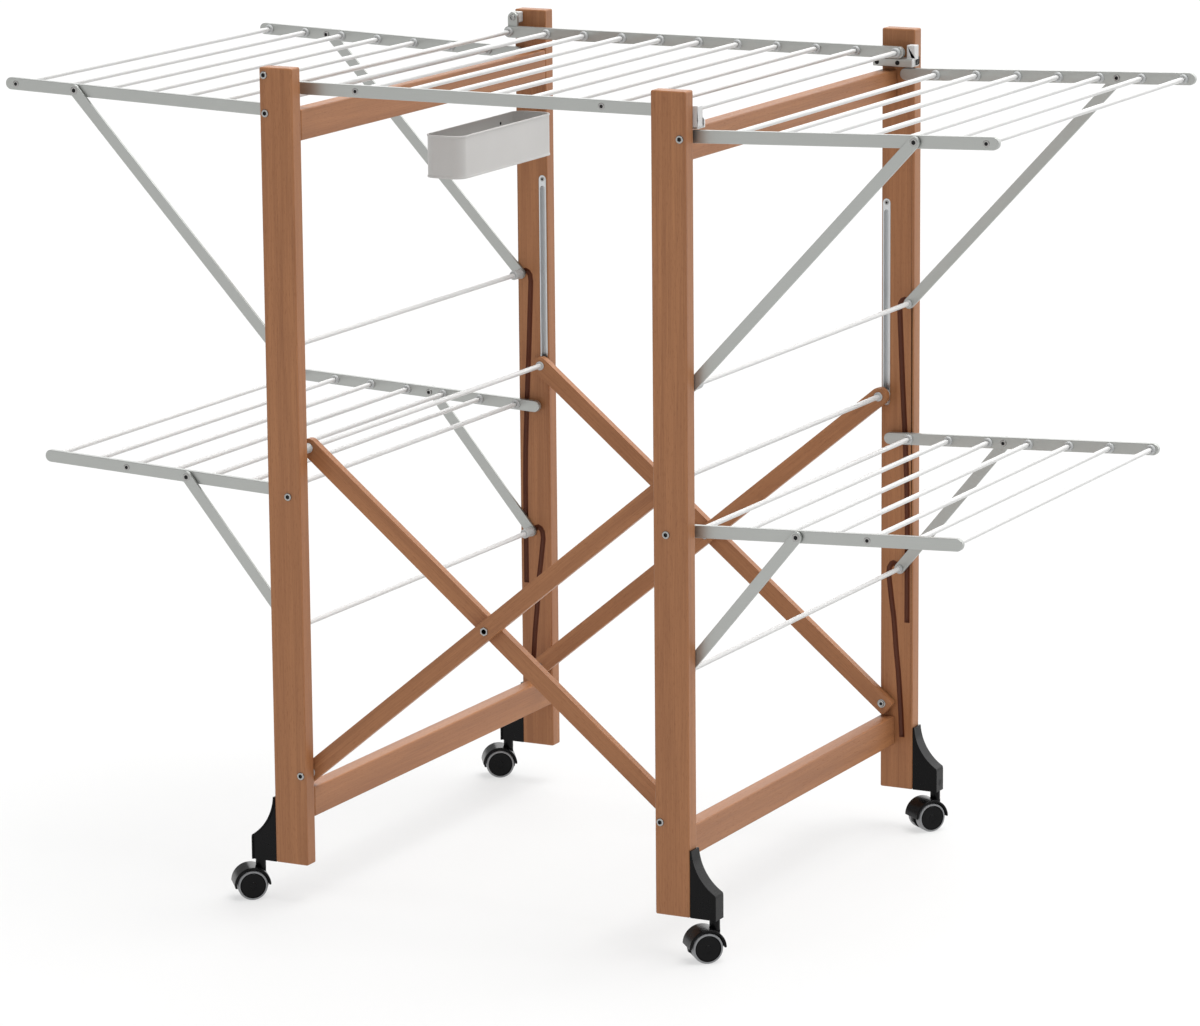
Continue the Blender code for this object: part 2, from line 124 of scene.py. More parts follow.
class Head(Enum):
    """The screw heads, each with its radius and how far it stands proud, in metres."""

    POST = (0.0052, 0.0016)
    SMALL = (0.0032, 0.0005)
    RAIL = (0.0044, 0.0006)
    PIVOT = (0.0046, 0.0014)
    STRUT_TOP = (0.0052, 0.0004)
    STRUT_FOOT = (0.0040, 0.0004)
    SLAT = (0.0044, 0.0014)
    BOLT = (0.0062, 0.0026)
    RIVET = (0.0022, 0.0004)


class Coat(Enum):
    """The finishes of the rack and of the studio."""

    WOOD_UPRIGHT = "wood_upright"
    WOOD_CROSS = "wood_crossbar"
    WOOD_RISING = "wood_slat_rising"
    WOOD_FALLING = "wood_slat_falling"
    WOOD_GROOVE = "wood_in_groove"
    SATIN = "satin_silver"
    CHANNEL = "drawn_aluminium"
    WHITE = "rod_white"
    GROMMET = "grommet_grey"
    CHROME = "bright_screw"
    SOCKET = "dark_socket"
    TRAY = "tray_plastic"
    BLACK = "black_gloss"
    RING = "tyre_grey"
    FLOOR = "studio_floor"


# ---------------------------------------------------------------------------------------------
# Finishes
# ---------------------------------------------------------------------------------------------


class Term:
    """A number in a shader. Arithmetic on it adds Math nodes."""

    def __init__(self, paint: "Paint", socket: bpy.types.NodeSocket) -> None:
        """Wrap an output socket.

        Args:
            paint: the material whose tree it is in.
            socket: the node's output.
        """
        self.paint = paint
        self.socket = socket

    def _with(self, operation: str, *values: object) -> "Term":
        """Add a Math node. Returns its result."""
        return self.paint.number("ShaderNodeMath", {"operation": operation}, dict(enumerate(values)))

    def __add__(self, other: object) -> "Term":
        """Sum."""
        return self._with("ADD", self, other)

    def __sub__(self, other: object) -> "Term":
        """Difference."""
        return self._with("SUBTRACT", self, other)

    def __rsub__(self, other: object) -> "Term":
        """Difference from a plain number."""
        return self._with("SUBTRACT", other, self)

    def __mul__(self, other: object) -> "Term":
        """Product."""
        return self._with("MULTIPLY", self, other)

    def above(self, edge: float, width: float) -> "Term":
        """A soft step.

        Args:
            edge: the value where the step is half way.
            width: how far it takes from 0 to 1.

        Returns:
            0 well below the edge and 1 well above it.
        """
        ranged = {"Value": self, "From Min": edge - width / 2.0, "From Max": edge + width / 2.0}
        return self.paint.number("ShaderNodeMapRange", {"interpolation_type": "SMOOTHSTEP"}, ranged)

    __radd__ = __add__
    __rmul__ = __mul__


class Paint:
    """A material's node tree, built one node at a time."""

    def __init__(self, name: str) -> None:
        """Start a material with only its shader.

        Args:
            name: the material's name.
        """
        self.material = bpy.data.materials.new(name)
        self.material.use_nodes = True
        self.tree = self.material.node_tree
        self.shader = self.tree.nodes["Principled BSDF"]

    def node(self, kind: str, settings: dict[str, object] | None = None,
             values: dict[object, object] | None = None) -> bpy.types.Node:
        """Add a node.

        Args:
            kind: the node's type.
            settings: its properties, set first.
            values: what its inputs hold, by name or number: a constant, a socket or a Term.

        Returns:
            The new node.
        """
        made = self.tree.nodes.new(kind)
        for key, value in (settings or {}).items():
            setattr(made, key, value)
        for key, value in (values or {}).items():
            self.feed(made.inputs[key], value)
        return made

    def feed(self, socket: bpy.types.NodeSocket, value: object) -> None:
        """Fill an input.

        Args:
            socket: the input.
            value: a Term or a socket to link into it, or a constant.
        """
        if isinstance(value, Term):
            value = value.socket
        if isinstance(value, bpy.types.NodeSocket):
            self.tree.links.new(value, socket)
        else:
            socket.default_value = value

    def number(self, kind: str, settings: dict[str, object], values: dict[object, object]) -> Term:
        """Add a node and return its first output as a Term."""
        return Term(self, self.node(kind, settings, values).outputs[0])

    def place(self, size: Sequence[float], lean: float = 0.0) -> bpy.types.NodeSocket:
        """Object coordinates measured in a pattern's own units.

        Args:
            size: how long one unit is along each of the piece's axes, in metres.
            lean: how far the pattern is turned about Y, in radians.

        Returns:
            A vector socket.
        """
        there = self.node("ShaderNodeTexCoord").outputs["Object"]
        values = {"Vector": there, "Rotation": (0.0, lean, 0.0), "Scale": tuple(size)}
        return self.node("ShaderNodeMapping", {"vector_type": "TEXTURE"}, values).outputs["Vector"]

    def noise(self, size: Sequence[float], detail: float = 2.0, lean: float = 0.0,
              warp: float = 0.0) -> Term:
        """A noise whose blotches have the given size in metres along each axis."""
        values = {"Vector": self.place(size, lean), "Scale": 1.0, "Detail": detail, "Distortion": warp}
        return self.number("ShaderNodeTexNoise", {}, values)

    def blend(self, share: object, low: Sequence[float], high: Sequence[float]) -> bpy.types.NodeSocket:
        """Mix two colours.

        Args:
            share: how much of the second one, from 0 to 1.
            low: the first, as a linear colour or a colour socket.
            high: the second.

        Returns:
            A colour socket.
        """
        made = self.node("ShaderNodeMix", {"data_type": "RGBA"})
        self.feed(made.inputs["Factor"], share)
        for slot, colour in (("A", low), ("B", high)):
            socket = next(s for s in made.inputs if s.name == slot and s.type == "RGBA")
            self.feed(socket, colour if isinstance(colour, bpy.types.NodeSocket) else (*colour, 1.0))
        return next(s for s in made.outputs if s.type == "RGBA")

    def bump(self, height: Term, depth: float, strength: float = 1.0) -> None:
        """Raise the surface by height times depth, in metres."""
        values = {"Height": height, "Distance": depth, "Strength": strength}
        self.feed(self.shader.inputs["Normal"], self.node("ShaderNodeBump", {}, values).outputs["Normal"])

    def finish(self, **sockets: object) -> bpy.types.Material:
        """Fill the shader's inputs.

        Args:
            sockets: what each holds, named with underscores for spaces.

        Returns:
            The material.
        """
        for key, value in sockets.items():
            self.feed(self.shader.inputs[key.replace("_", " ")], value)
        return self.material


def linear(red: int, green: int, blue: int) -> tuple[float, float, float]:
    """The linear colour of an 8-bit screen colour."""
    shares = [channel / 255.0 for channel in (red, green, blue)]
    return tuple(((c + 0.055) / 1.055) ** 2.4 if c > 0.04045 else c / 12.92 for c in shares)


@dataclass(frozen=True)
class WoodFinish:
    """Straight-grained reddish-brown hardwood under a satin lacquer."""

    grain: tuple[float, float, float]          # 1 along the grain, 0 across it
    lean: float = 0.0
    light: tuple[float, float, float] = linear(184, 128, 86)
    middle: tuple[float, float, float] = linear(164, 111, 73)
    dark: tuple[float, float, float] = linear(126, 79, 50)
    figure: tuple[float, float] = (0.014, 0.55)     # this pattern's size across and along the grain
    fibre: tuple[float, float] = (0.0011, 0.075)
    pores: tuple[float, float] = (0.0006, 0.009)
    board: tuple[float, float, float] = (0.35, 0.35, 0.6)

    def sized(self, across: float, along: float) -> list[float]:
        """A pattern's size on each axis."""
        return [along if share else across for share in self.grain]

    def make(self, name: str) -> bpy.types.Material:
        """Build the material: broad figure, fine fibres, short pores, and lacquer that dips into them.

        Args:
            name: the material's name.

        Returns:
            The material.
        """
        paint = Paint(name)
        figure = paint.noise(self.sized(*self.figure), 3.0, self.lean, 0.7)
        fibre = paint.noise(self.sized(*self.fibre), 4.0, self.lean)
        pores = paint.noise(self.sized(*self.pores), 1.0, self.lean).above(0.66, 0.10)
        board = paint.noise(self.board, 1.0)
        tone = (figure * 0.55 + fibre * 0.45).above(0.5, 0.42)
        body = paint.blend(tone, self.dark, self.light)
        body = paint.blend(0.42 + board * 0.3, body, self.middle)
        colour = paint.blend(pores * 0.45, body, self.dark)
        paint.bump(fibre * 0.5 + figure * 0.3 - pores * 0.5, 0.00012, 0.6)
        return paint.finish(Base_Color=colour, Roughness=0.36 + fibre * 0.14 + pores * 0.15,
                            Specular_IOR_Level=0.3)


@dataclass(frozen=True)
class BrushedFinish:
    """Metal with fine lines along one axis and faint handling marks."""

    colour: tuple[float, float, float]
    along: tuple[float, float, float]
    roughness: float = 0.38
    metallic: float = 0.85

    def make(self, name: str) -> bpy.types.Material:
        """Build the material."""
        paint = Paint(name)
        lines = paint.noise([0.045 if share else 0.00035 for share in self.along], 3.0)
        haze = paint.noise((0.05, 0.05, 0.05), 2.0)
        pale = tuple(min(1.0, c * 1.12) for c in self.colour)
        deep = tuple(c * 0.88 for c in self.colour)
        colour = paint.blend(lines * 0.6 + haze * 0.4, deep, pale)
        paint.bump(lines, 0.00003, 0.5)
        return paint.finish(Base_Color=colour, Metallic=self.metallic,
                            Roughness=self.roughness - 0.09 + lines * 0.12 + haze * 0.08)


@dataclass(frozen=True)
class CoatedFinish:
    """Smooth coat or moulded plastic: a slight orange peel, faint dust in the tone, small scuffs."""

    colour: tuple[float, float, float]
    roughness: float = 0.35
    peel: float = 0.0025
    depth: float = 0.00004
    variation: float = 0.06
    scuffs: float = 0.10
    shine: float = 0.4

    def make(self, name: str) -> bpy.types.Material:
        """Build the material."""
        paint = Paint(name)
        skin = paint.noise((self.peel,) * 3, 2.0)
        cloud = paint.noise((0.06, 0.06, 0.06), 2.0)
        scratch = paint.noise((0.0009, 0.012, 0.012), 2.0).above(0.66, 0.08) * cloud.above(0.5, 0.2)
        pale = tuple(min(1.0, c * (1.0 + self.variation) + self.variation * 0.01) for c in self.colour)
        deep = tuple(c * (1.0 - self.variation) for c in self.colour)
        colour = paint.blend(cloud * 0.7 + skin * 0.3, deep, pale)
        paint.bump(skin - scratch * 0.3, self.depth, 0.6)
        return paint.finish(Base_Color=colour, Specular_IOR_Level=self.shine,
                            Roughness=self.roughness - 0.04 + cloud * 0.08 + scratch * self.scuffs)


@dataclass(frozen=True)
class BrightFinish:
    """Bright plated or blackened screw metal with a light turning mark. Its dark version is also painted
    shade inside the sockets of bright heads.
    """

    colour: tuple[float, float, float]
    roughness: float
    metallic: float = 1.0

    def make(self, name: str) -> bpy.types.Material:
        """Build the material."""
        paint = Paint(name)
        grit = paint.noise((0.0007, 0.0007, 0.0007), 2.0)
        deep = tuple(c * 0.8 for c in self.colour)
        paint.bump(grit, 0.00002, 0.4)
        return paint.finish(Base_Color=paint.blend(grit, deep, self.colour), Metallic=self.metallic,
                            Roughness=self.roughness + grit * 0.12)


@dataclass(frozen=True)
class FloorFinish:
    """Seamless pale studio paper."""

    colour: tuple[float, float, float] = (0.27, 0.27, 0.268)
    glow: float = 0.595

    def make(self, name: str) -> bpy.types.Material:
        """Build the material."""
        paint = Paint(name)
        cloud = paint.noise((0.9, 0.9, 0.9), 2.0)
        pale = tuple(c * 1.01 for c in self.colour)
        return paint.finish(Base_Color=paint.blend(cloud, self.colour, pale), Roughness=0.75 + cloud * 0.1,
                            Specular_IOR_Level=0.1, Emission_Color=(1.0, 1.0, 1.0, 1.0),
                            Emission_Strength=self.glow)


class Palette:
    """Every finish of the rack, each made once."""

    def __init__(self, slat_rise: float) -> None:
        """Build the materials.

        Args:
            slat_rise: the slats' angle above the floor, in radians.
        """
        recipes = {
            Coat.WOOD_UPRIGHT: WoodFinish((0, 0, 1)),
            Coat.WOOD_CROSS: WoodFinish((0, 1, 0)),
            Coat.WOOD_RISING: WoodFinish((1, 0, 0), -slat_rise),
            Coat.WOOD_FALLING: WoodFinish((1, 0, 0), slat_rise),
            # painted shade: darker wood on the grooves' faces, standing for the shade in the recesses
            Coat.WOOD_GROOVE: WoodFinish((0, 0, 1), 0.0, linear(112, 58, 32), linear(98, 50, 28),
                                         linear(76, 38, 22)),
            Coat.SATIN: BrushedFinish(linear(178, 180, 177), (1, 0, 0)),
            Coat.CHANNEL: BrushedFinish(linear(205, 207, 208), (0, 0, 1), 0.3, 1.0),
            Coat.WHITE: CoatedFinish(linear(214, 214, 213), 0.34),
            Coat.GROMMET: CoatedFinish(linear(186, 188, 188), 0.42),
            Coat.CHROME: BrightFinish(linear(170, 169, 167), 0.16),
            # dark screw metal for whole heads, and painted shade on the faces inside the sockets of bright
            # heads
            Coat.SOCKET: BrightFinish(linear(16, 16, 18), 0.45, 0.5),
            Coat.TRAY: CoatedFinish(linear(198, 197, 195), 0.42, 0.0015),
            Coat.BLACK: CoatedFinish(linear(9, 9, 10), 0.24, 0.0018, 0.00005, 0.2, 0.25, 0.13),
            Coat.RING: CoatedFinish(linear(140, 141, 143), 0.5, 0.0012, 0.00008, 0.12),
            Coat.FLOOR: FloorFinish(),
        }
        self.materials = {coat: recipe.make(coat.value) for coat, recipe in recipes.items()}

    def __getitem__(self, coat: Coat) -> bpy.types.Material:
        """The material of a coat."""
        return self.materials[coat]


# ---------------------------------------------------------------------------------------------
# Bench
# ---------------------------------------------------------------------------------------------


class Bench:
    """Modelling steps as done by hand, one object at a time."""

    def __init__(self, palette: Palette) -> None:
        """Keep the palette that pieces are coated from."""
        self.palette = palette

    def clear(self) -> None:
        """Leave edit mode and deselect everything."""
        if bpy.context.mode != "OBJECT":
            bpy.ops.object.mode_set(mode="OBJECT")
        bpy.ops.object.select_all(action="DESELECT")

    def take(self, *objects: bpy.types.Object) -> None:
        """Select only some objects.

        Args:
            objects: what is selected. The first one becomes active.
        """
        self.clear()
        for obj in objects:
            obj.select_set(True)
        bpy.context.view_layer.objects.active = objects[0]

    def pick(self, obj: bpy.types.Object, kind: Pick, test: Callable[[object], bool]) -> None:
        """Enter edit mode with only what passes a test selected.

        Args:
            obj: the object to edit.
            kind: vertices, edges or faces.
            test: says whether one of them is wanted, by its place or normal.
        """
        self.take(obj)
        bpy.ops.object.mode_set(mode="EDIT")
        bpy.ops.mesh.select_mode(type=kind.value)
        bpy.ops.mesh.select_all(action="DESELECT")
        drawn = bmesh.from_edit_mesh(obj.data)
        for item in {Pick.VERT: drawn.verts, Pick.EDGE: drawn.edges, Pick.FACE: drawn.faces}[kind]:
            if test(item):
                item.select_set(True)
        drawn.select_flush_mode()
        bmesh.update_edit_mesh(obj.data)

    def set_down(self, obj: bpy.types.Object, place: Matrix | None = None) -> bpy.types.Object:
        """Put an object's place into its mesh.

        Args:
            obj: the object.
            place: where it is moved first.

        Returns:
            The object.
        """
        self.take(obj)
        if place is not None:
            obj.matrix_world = place
        bpy.ops.object.transform_apply(location=True, rotation=True, scale=True)
        return obj

    def box(self, low: Sequence[float], high: Sequence[float]) -> bpy.types.Object:
        """Add a cuboid.

        Args:
            low: its lowest corner.
            high: its highest corner.

        Returns:
            The cuboid.
        """
        low, high = Vector(low), Vector(high)
        self.clear()
        bpy.ops.mesh.primitive_cube_add(size=1.0, location=(low + high) / 2.0, scale=high - low)
        return self.set_down(bpy.context.object)

    def cylinder(self, radius: float, low: float, high: float, sides: int = 32,
                 open_ends: bool = False) -> bpy.types.Object:
        """Add a cylinder on the Z axis.

        Args:
            radius: its radius.
            low: the height of its foot.
            high: the height of its top.
            sides: how many facets it has round the axis.
            open_ends: leaves both ends open.

        Returns:
            The cylinder.
        """
        self.clear()
        ends = "NOTHING" if open_ends else "NGON"
        bpy.ops.mesh.primitive_cylinder_add(vertices=sides, radius=radius, depth=high - low,
                                            end_fill_type=ends, location=(0, 0, (low + high) / 2.0))
        return self.set_down(bpy.context.object)

    def turned(self, profile: Profile, sides: int = 32) -> bpy.types.Object:
        """A shape turned on the Z axis: a cylinder whose top is extruded and scaled from step to step.

        Args:
            profile: (height, radius) pairs from the bottom, which may run back down into a hollow.
            sides: how many facets it has round the axis.

        Returns:
            A closed mesh.
        """
        (low, first), (high, second) = profile[:2]
        obj = self.cylinder(first, low, high, sides)
        self.pick(obj, Pick.FACE, lambda face: face.normal.z > 0.9)
        self._narrow(second / first)
        for (z0, r0), (z1, r1) in zip(profile[1:], profile[2:]):
            bpy.ops.mesh.extrude_region_move(TRANSFORM_OT_translate={"value": (0.0, 0.0, z1 - z0)})
            self._narrow(r1 / r0)
        self.clear()
        return obj

    def _narrow(self, share: float) -> None:
        """Scale the selection about the Z axis."""
        bpy.ops.transform.resize(value=(share, share, 1.0), center_override=(0.0, 0.0, 0.0))

    def chamfer(self, obj: bpy.types.Object, width: float, segments: int = 2,
                angle: float = 50.0) -> bpy.types.Object:
        """Round an object's edges.

        Args:
            obj: the object.
            width: how far they are rounded.
            segments: how many faces a rounding has.
            angle: the flattest edge that is rounded, in degrees.

        Returns:
            The object.
        """
        self.take(obj)
        edge = obj.modifiers.new("edges", "BEVEL")
        edge.width = width
        edge.segments = segments
        edge.limit_method = "ANGLE"
        edge.angle_limit = math.radians(angle)
        bpy.ops.object.modifier_apply(modifier=edge.name)
        return obj

    def cut(self, obj: bpy.types.Object, tool: bpy.types.Object,
            operation: str = "DIFFERENCE") -> bpy.types.Object:
        """Cut a tool out of an object, or fuse it on, and throw the tool away.

        Args:
            obj: the object.
            tool: the tool.
            operation: DIFFERENCE to cut, UNION to fuse.

        Returns:
            The object.
        """
        self.take(obj)
        step = obj.modifiers.new("cut", "BOOLEAN")
        step.operation, step.solver, step.object = operation, "EXACT", tool
        bpy.ops.object.modifier_apply(modifier=step.name)
        bpy.data.objects.remove(tool, do_unlink=True)
        return obj

    def bar(self, length: float, radius: float, thickness: float, edge: float = 0.0008,
            segments: int = 8, near: float | None = None) -> bpy.types.Object:
        """A flat bar along X between two pins, with round ends about them.

        Args:
            length: from the pin at the origin to the far pin.
            radius: half the bar's width.
            thickness: its size along Y.
            edge: how far its edges are rounded.
            segments: facets in each quarter of a round end.
            near: the corners' radius where the near end is square.

        Returns:
            A closed mesh.
        """
        half = thickness / 2.0
        obj = self.box((-radius, -half, -radius), (length + radius, half, radius))
        for reach, corner in ((-radius, near or radius), (length + radius, radius)):
            self.pick(obj, Pick.EDGE, lambda e: all(abs(v.co.x - reach) < 0.00001 for v in e.verts) and
                      abs((e.verts[0].co - e.verts[1].co).y) > half)
            bpy.ops.mesh.bevel(offset=corner * 0.999, segments=segments, affect="EDGES")
        bpy.ops.mesh.select_all(action="SELECT")
        bpy.ops.mesh.remove_doubles(threshold=0.00002)
        return self.chamfer(obj, edge)

    def copy(self, obj: bpy.types.Object, place: Matrix) -> bpy.types.Object:
        """Copy an object with its mesh.

        Args:
            obj: the object.
            place: how the copy is moved.

        Returns:
            The copy.
        """
        twin = obj.copy()
        twin.data = obj.data.copy()
        bpy.context.scene.collection.objects.link(twin)
        return self.set_down(twin, place)

    def spread(self, pattern: bpy.types.Object, places: Iterable[Matrix]) -> list[bpy.types.Object]:
        """Copy a pattern piece to every place and throw the pattern away.

        Args:
            pattern: the piece.
            places: how each copy is moved.

        Returns:
            The copies.
        """
        made = [self.copy(pattern, place) for place in places]
        bpy.data.objects.remove(pattern, do_unlink=True)
        return made

    def join(self, parts: Sequence[bpy.types.Object]) -> bpy.types.Object:
        """Make one object of several, each still a closed shell of its own.

        Args:
            parts: the objects.

        Returns:
            The first of them, which holds them all.
        """
        self.take(*parts)
        if len(parts) > 1:
            bpy.ops.object.join()
        return parts[0]

    def coat(self, obj: bpy.types.Object, coat: Coat,
             test: Callable[[bpy.types.MeshPolygon], bool] | None = None) -> bpy.types.Object:
        """Give faces a finish.

        Args:
            obj: the piece.
            coat: the finish.
            test: which faces take it. Without it the whole piece does.

        Returns:
            The piece.
        """
        obj.data.materials.append(self.palette[coat])
        index = len(obj.data.materials) - 1
        for face in obj.data.polygons:
            if test is None or test(face):
                face.material_index = index
        return obj

    def fitting(self, profile: Profile, sides: int, coat: Coat, spot: Sequence[float],
                axis: Sequence[float]) -> bpy.types.Object:
        """A turned and coated piece whose height runs from a spot along an axis."""
        return self.set_down(self.coat(self.turned(profile, sides), coat), face_to(spot, axis))

    def hand_over(self, obj: bpy.types.Object, name: str, body: str, slot: str,
                  replaces: Sequence[str] = (), angle: float = 35.0) -> bpy.types.Object:
        """Shade a finished piece, name it and let it ride.

        Args:
            obj: the piece, with its place in its mesh.
            name: its name in the list of pieces.
            body: the body that it moves with.
            slot: the record's material slot; not used.
            replaces: the frame's nodes that it stands for.
            angle: edges flatter than this are shaded smooth, in degrees.

        Returns:
            The piece.
        """
        self.take(obj)
        bpy.ops.object.shade_smooth_by_angle(angle=math.radians(angle))
        even = obj.modifiers.new("even", "WEIGHTED_NORMAL")
        even.keep_sharp = True
        bpy.ops.object.modifier_apply(modifier=even.name)
        self.clear()
        obj.name = obj.data.name = name
        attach(obj, body)
        if replaces:
            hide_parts(*replaces)
        log.info("%s on %s, %d faces", name, body, len(obj.data.polygons))
        return obj

    def refine(self, node: str, coat: Coat, body: str, slot: str,
               sunk: Callable[[Vector], bool] | None = None, lip: float = 0.001) -> None:
        """Stand a merged and smoothly shaded copy of a frame node in for it.

        Args:
            node: the frame's node.
            coat: its finish.
            body: the body that it moves with.
            slot: the record's material slot.
            sunk: says whether a place is in a groove, whose faces then take darker wood as painted shade
                and whose edges are eased.
            lip: how far the grooves' edges are eased.
        """
        source = frame["nodes"][node]
        twin = bpy.data.objects.new(f"fine_{node}", source.data.copy())
        bpy.context.scene.collection.objects.link(twin)
        twin.data.materials.clear()
        self.pick(twin, Pick.VERT, lambda vert: True)
        bpy.ops.mesh.remove_doubles(threshold=0.00002)
        bpy.ops.mesh.dissolve_limited(angle_limit=math.radians(0.5))
        self.clear()
        self.coat(twin, coat)
        if sunk:
            # painted shade: faces inside the grooves take the darker groove wood
            self.coat(twin, Coat.WOOD_GROOVE, lambda face: sunk(face.center))
            self.pick(twin, Pick.EDGE, lambda edge: len(edge.link_faces) == 2 and
                      sum(sunk(face.calc_center_median()) for face in edge.link_faces) == 1)
            bpy.ops.mesh.bevel(offset=lip, segments=2, affect="EDGES", material=1)
            self.clear()
        self.hand_over(twin, f"fine_{node}", body, slot, [node])


def aim(start: Sequence[float], direction: Sequence[float]) -> Matrix:
    """Make a place whose X axis runs along a direction and whose Y axis stays.

    Args:
        start: the place's origin.
        direction: a direction square to Y.

    Returns:
        The place's matrix.
    """
    along = Vector(direction).normalized()
    across = Vector((0.0, 1.0, 0.0))
    turn = Matrix((along, across, along.cross(across))).transposed().to_4x4()
    return Matrix.Translation(start) @ turn


def face_to(spot: Sequence[float], axis: Sequence[float]) -> Matrix:
    """The matrix of a spot whose Z axis points along an axis."""
    return Matrix.Translation(spot) @ Vector(axis).to_track_quat("Z", "Y").to_matrix().to_4x4()


def joint(name: str, what: str = "pos_m") -> Vector:
    """A joint's place in the frame, or with what as "axis" the direction it turns about."""
    return Vector(next(j[what] for j in frame["joints"] if j["name"] == name))


# ---------------------------------------------------------------------------------------------
# Small parts
# ---------------------------------------------------------------------------------------------


@dataclass
class SocketScrew:
    """A round bright screw head whose hexagon socket is painted dark as shade in the recess."""

    bench: Bench
    head: Head
    coat: Coat = Coat.CHROME
    drive: float = 0.58

    def pattern(self) -> bpy.types.Object:
        """Model one head on the Z axis, seated at height 0.

        Returns:
            The head, with its socket's faces painted dark as shade in the recess.
        """
        radius, proud = self.head.value
        drive = radius * self.drive
        head = self.bench.turned([(-0.0008, radius), (proud * 0.45, radius), (proud * 0.85, radius * 0.93),
                                  (proud, radius * 0.78)], 28)
        self.bench.cut(head, self.bench.cylinder(drive, max(0.00008, proud * 0.12), proud * 3.0, 6))
        self.bench.coat(head, self.coat)
        # painted shade: the socket's walls and floor are painted dark
        return self.bench.coat(head, Coat.SOCKET, lambda face: face.center.xy.length < drive and
                               (face.normal.z < 0.5 or face.center.z < proud * 0.5) and
                               face.center.z > 0.0)

    def at(self, spots: Iterable[Seat]) -> list[bpy.types.Object]:
        """Heads at (place, outward axis) pairs."""
        return self.bench.spread(self.pattern(), [face_to(spot, axis) for spot, axis in spots])


@dataclass
class RodSet:
    """Parallel coated rods with a grommet where each end enters its rail."""

    bench: Bench
    radius: float = 0.0033
    neck: float = 0.0027
    cup_radius: float = 0.0066
    cup_height: float = 0.0034
    steps: tuple[float, float, float] = (0.0002, 0.0062, 0.0078)   # its end, its neck's end, full width

    def pattern(self, reach: float) -> bpy.types.Object:
        """Model one rod along Y through the origin, with its two grommets.

        Args:
            reach: from the middle to each rail.

        Returns:
            The rod.
        """
        neck, wide, high = self.neck, self.cup_radius, self.cup_height
        ends = [(step - reach, radius) for step, radius in zip(self.steps, (neck, neck, self.radius))]
        rod = self.bench.turned(ends + [(-z, radius) for z, radius in reversed(ends)], 20)
        self.bench.coat(rod, Coat.WHITE)
        cup = self.bench.turned([(-0.0004, wide), (high * 0.35, wide), (high * 0.8, wide * 0.93),
                                 (high, wide * 0.8), (high, neck + 0.0006),
                                 (high * 0.6, neck + 0.0003)], 24)
        self.bench.coat(cup, Coat.GROMMET)
        down = self.bench.copy(cup, Matrix.Translation((0, 0, -reach)))
        up = self.bench.set_down(cup, face_to((0, 0, reach), (0, 0, -1)))
        return self.bench.set_down(self.bench.join([rod, down, up]), face_to((0, 0, 0), (0, 1, 0)))

    def along(self, reach: float, spots: Iterable[Vector]) -> bpy.types.Object:
        """Rods through every spot, as one piece."""
        places = [Matrix.Translation(spot) for spot in spots]
        return self.bench.join(self.bench.spread(self.pattern(reach), places))


# ---------------------------------------------------------------------------------------------
# Sub-assemblies
# ---------------------------------------------------------------------------------------------


@dataclass
class EndFrame:
    """Posts, crossbars, channels and the screws in them."""

    bench: Bench
    side: Side
    screw_inset: float = 0.0055
    skin: tuple[float, float, float] = (0.0023, 0.0004, 0.0023)

    def build(self) -> None:
        """Dress the timber and channels, and add the screws."""
        word = self.side.word
        body = f"{word}_frame"
        for end in End:
            self.bench.refine(f"post_{end.word}_{word}", Coat.WOOD_UPRIGHT, body, "wood",
                              self._groove(end))
            self.bench.refine(f"channel_{end.word}_{word}", Coat.CHANNEL, body, "channel")
            self._channel_screws(end)
        for name in ("top", "low"):
            self.bench.refine(f"crossbar_{name}_{word}", Coat.WOOD_CROSS, body, "wood")
        self._post_screws()

    def _groove(self, end: End) -> Callable[[Vector], bool]:
        """Tell a post's grooves from its skin and from the recess that holds its channel.

        Args:
            end: the post's end of the frame.

        Returns:
            A test that places in the grooves pass.
        """
        word = self.side.word
        skin = Vector(self.skin)
        low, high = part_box(f"post_{end.word}_{word}")
        room_low, room_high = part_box(f"channel_{end.word}_{word}")

        def inside(spot: Vector, lowest: Vector, highest: Vector) -> bool:
            """Whether a place is between two corners."""
            return all(a < b < c for a, b, c in zip(lowest, spot, highest))

        return lambda spot: inside(spot, low + skin, high - skin) and not inside(
            spot, room_low - 3.0 * skin, room_high + 3.0 * skin)

    def _post_screws(self) -> None:
        """Screw heads on the posts' outer faces, one on every hinge axis."""
        word = self.side.word
        axes = [joint(f"wing_{level.value}_{word}_fold") for level in Level]
        axes.append(joint("fold" if self.side is Side.LEFT else "right_frame_turn"))
        if self.side is Side.LEFT:
            axes.append(joint("grille_flip"))
        spots = []
        for end in End:
            y = end.outer(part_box(f"post_{end.word}_{word}"))
            spots += [((axis.x, y, axis.z), end.outward) for axis in axes]
        heads = self.bench.join(SocketScrew(self.bench, Head.POST).at(spots))
        self.bench.hand_over(heads, f"post_screws_{word}", f"{word}_frame", "bolt")

    def _channel_screws(self, end: End) -> None:
        """Two small screws that hold a channel in its post, near the channel's ends."""
        word = self.side.word
        low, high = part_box(f"channel_{end.word}_{word}")
        x, y = (low.x + high.x) / 2.0, end.inner((low, high))
        spots = [((x, y, z), end.inward) for z in (low.z + self.screw_inset, high.z - self.screw_inset)]
        heads = self.bench.join(SocketScrew(self.bench, Head.SMALL).at(spots))
        self.bench.hand_over(heads, f"channel_screws_{end.word}_{word}", f"{word}_frame", "bolt")


